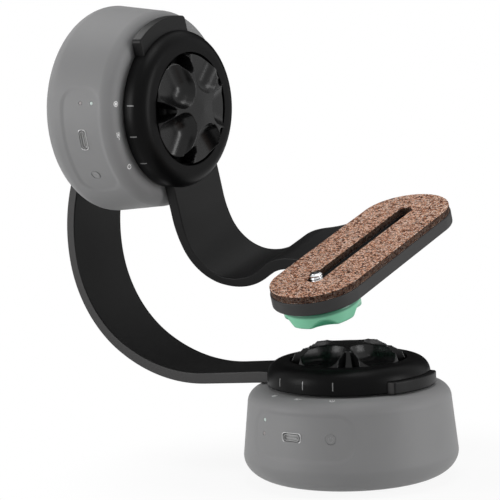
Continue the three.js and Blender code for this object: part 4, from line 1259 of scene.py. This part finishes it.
# %% Black card for reflections
CARD_WIDTH, CARD_HEIGHT, CARD_AZIMUTH, CARD_DISTANCE = 1.4, 0.8, -144, 0.75
half = CARD_WIDTH / 2
card_mesh = bpy.data.meshes.new("black_card")
card_mesh.from_pydata([(-half, 0, 0.002), (half, 0, 0.002), (half, 0, CARD_HEIGHT), (-half, 0, CARD_HEIGHT)],
                      [], [(0, 1, 2, 3)])
card_mesh.materials.append(foot_rubber)
card = placed("black_card", card_mesh)
card.matrix_world = turn(CARD_AZIMUTH, "Z") @ Matrix.Translation((0, -CARD_DISTANCE, 0))
tuned(card, visible_camera=False, visible_diffuse=False, visible_transmission=False, visible_shadow=False)
card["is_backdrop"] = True
print("black card", CARD_DISTANCE, "m behind the bracket, seen by reflections only")

# %% White world
world = bpy.data.worlds.new("world")
bpy.context.scene.world = world
world.use_nodes = True
background = world.node_tree.nodes["Background"]
AMBIENT = 0.2
strength = AMBIENT + (1 - AMBIENT) * seen_directly(Wire(world.node_tree))
world.node_tree.links.new(strength.socket, background.inputs["Strength"])
background.inputs["Color"].default_value = (1, 1, 1, 1)
print("world: 1 for the camera,", AMBIENT, "for diffuse light")

# %% Floor that fades into the background
def floor_finish():
    finish = Finish("floor", Specular_IOR_Level=0.2)
    grain = finish.noise(400, 3)
    material = finish.dress(grain.mix(grey(0.86), grey(0.89)), 0.7 + 0.1 * (grain - 0.5), grain, 0.00002)
    distance = finish.vector("LENGTH", {0: finish.place})
    white = finish.bench.node("ShaderNodeEmission", {}, {"Color": (1, 1, 1, 1), "Strength": 1.0})
    surface = Wire(finish.bench.tree, finish.shader.outputs[0])
    share = seen_directly(finish.bench) * (0.91 + 0.09 * distance.step(0.07, 0.16))
    faded = finish.bench.node("ShaderNodeMixShader", {}, {0: share, 1: surface, 2: white})
    output = finish.bench.tree.nodes["Material Output"]
    finish.bench.tree.links.new(faded.socket, output.inputs["Surface"])
    return material


FLOOR_RADIUS, FLOOR_SIDES = 1.6, 96
floor_mesh = bpy.data.meshes.new("floor")
floor_mesh.from_pydata(circle_loop(FLOOR_RADIUS, -0.0003, FLOOR_SIDES), [], [tuple(range(FLOOR_SIDES))])
floor_mesh.materials.append(floor_finish())
placed("floor", floor_mesh)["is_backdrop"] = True
print("floor radius", FLOOR_RADIUS, "m")

# %% [markdown]
# ## Colour management and a last measure
#
# The Standard view transform shows a colour as it is written. The box round the dressed model is
# compared with the CAD model's box, since dressing must not change the object's size.

# %% Measure and finish
bpy.context.scene.view_settings.view_transform = "Standard"
low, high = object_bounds()
growth = [round((h - l) / (b - a) * 100 - 100, 2) for l, h, a, b in zip(low, high, cad_low, cad_high)]
print("the dressed model is larger by", growth, "%")
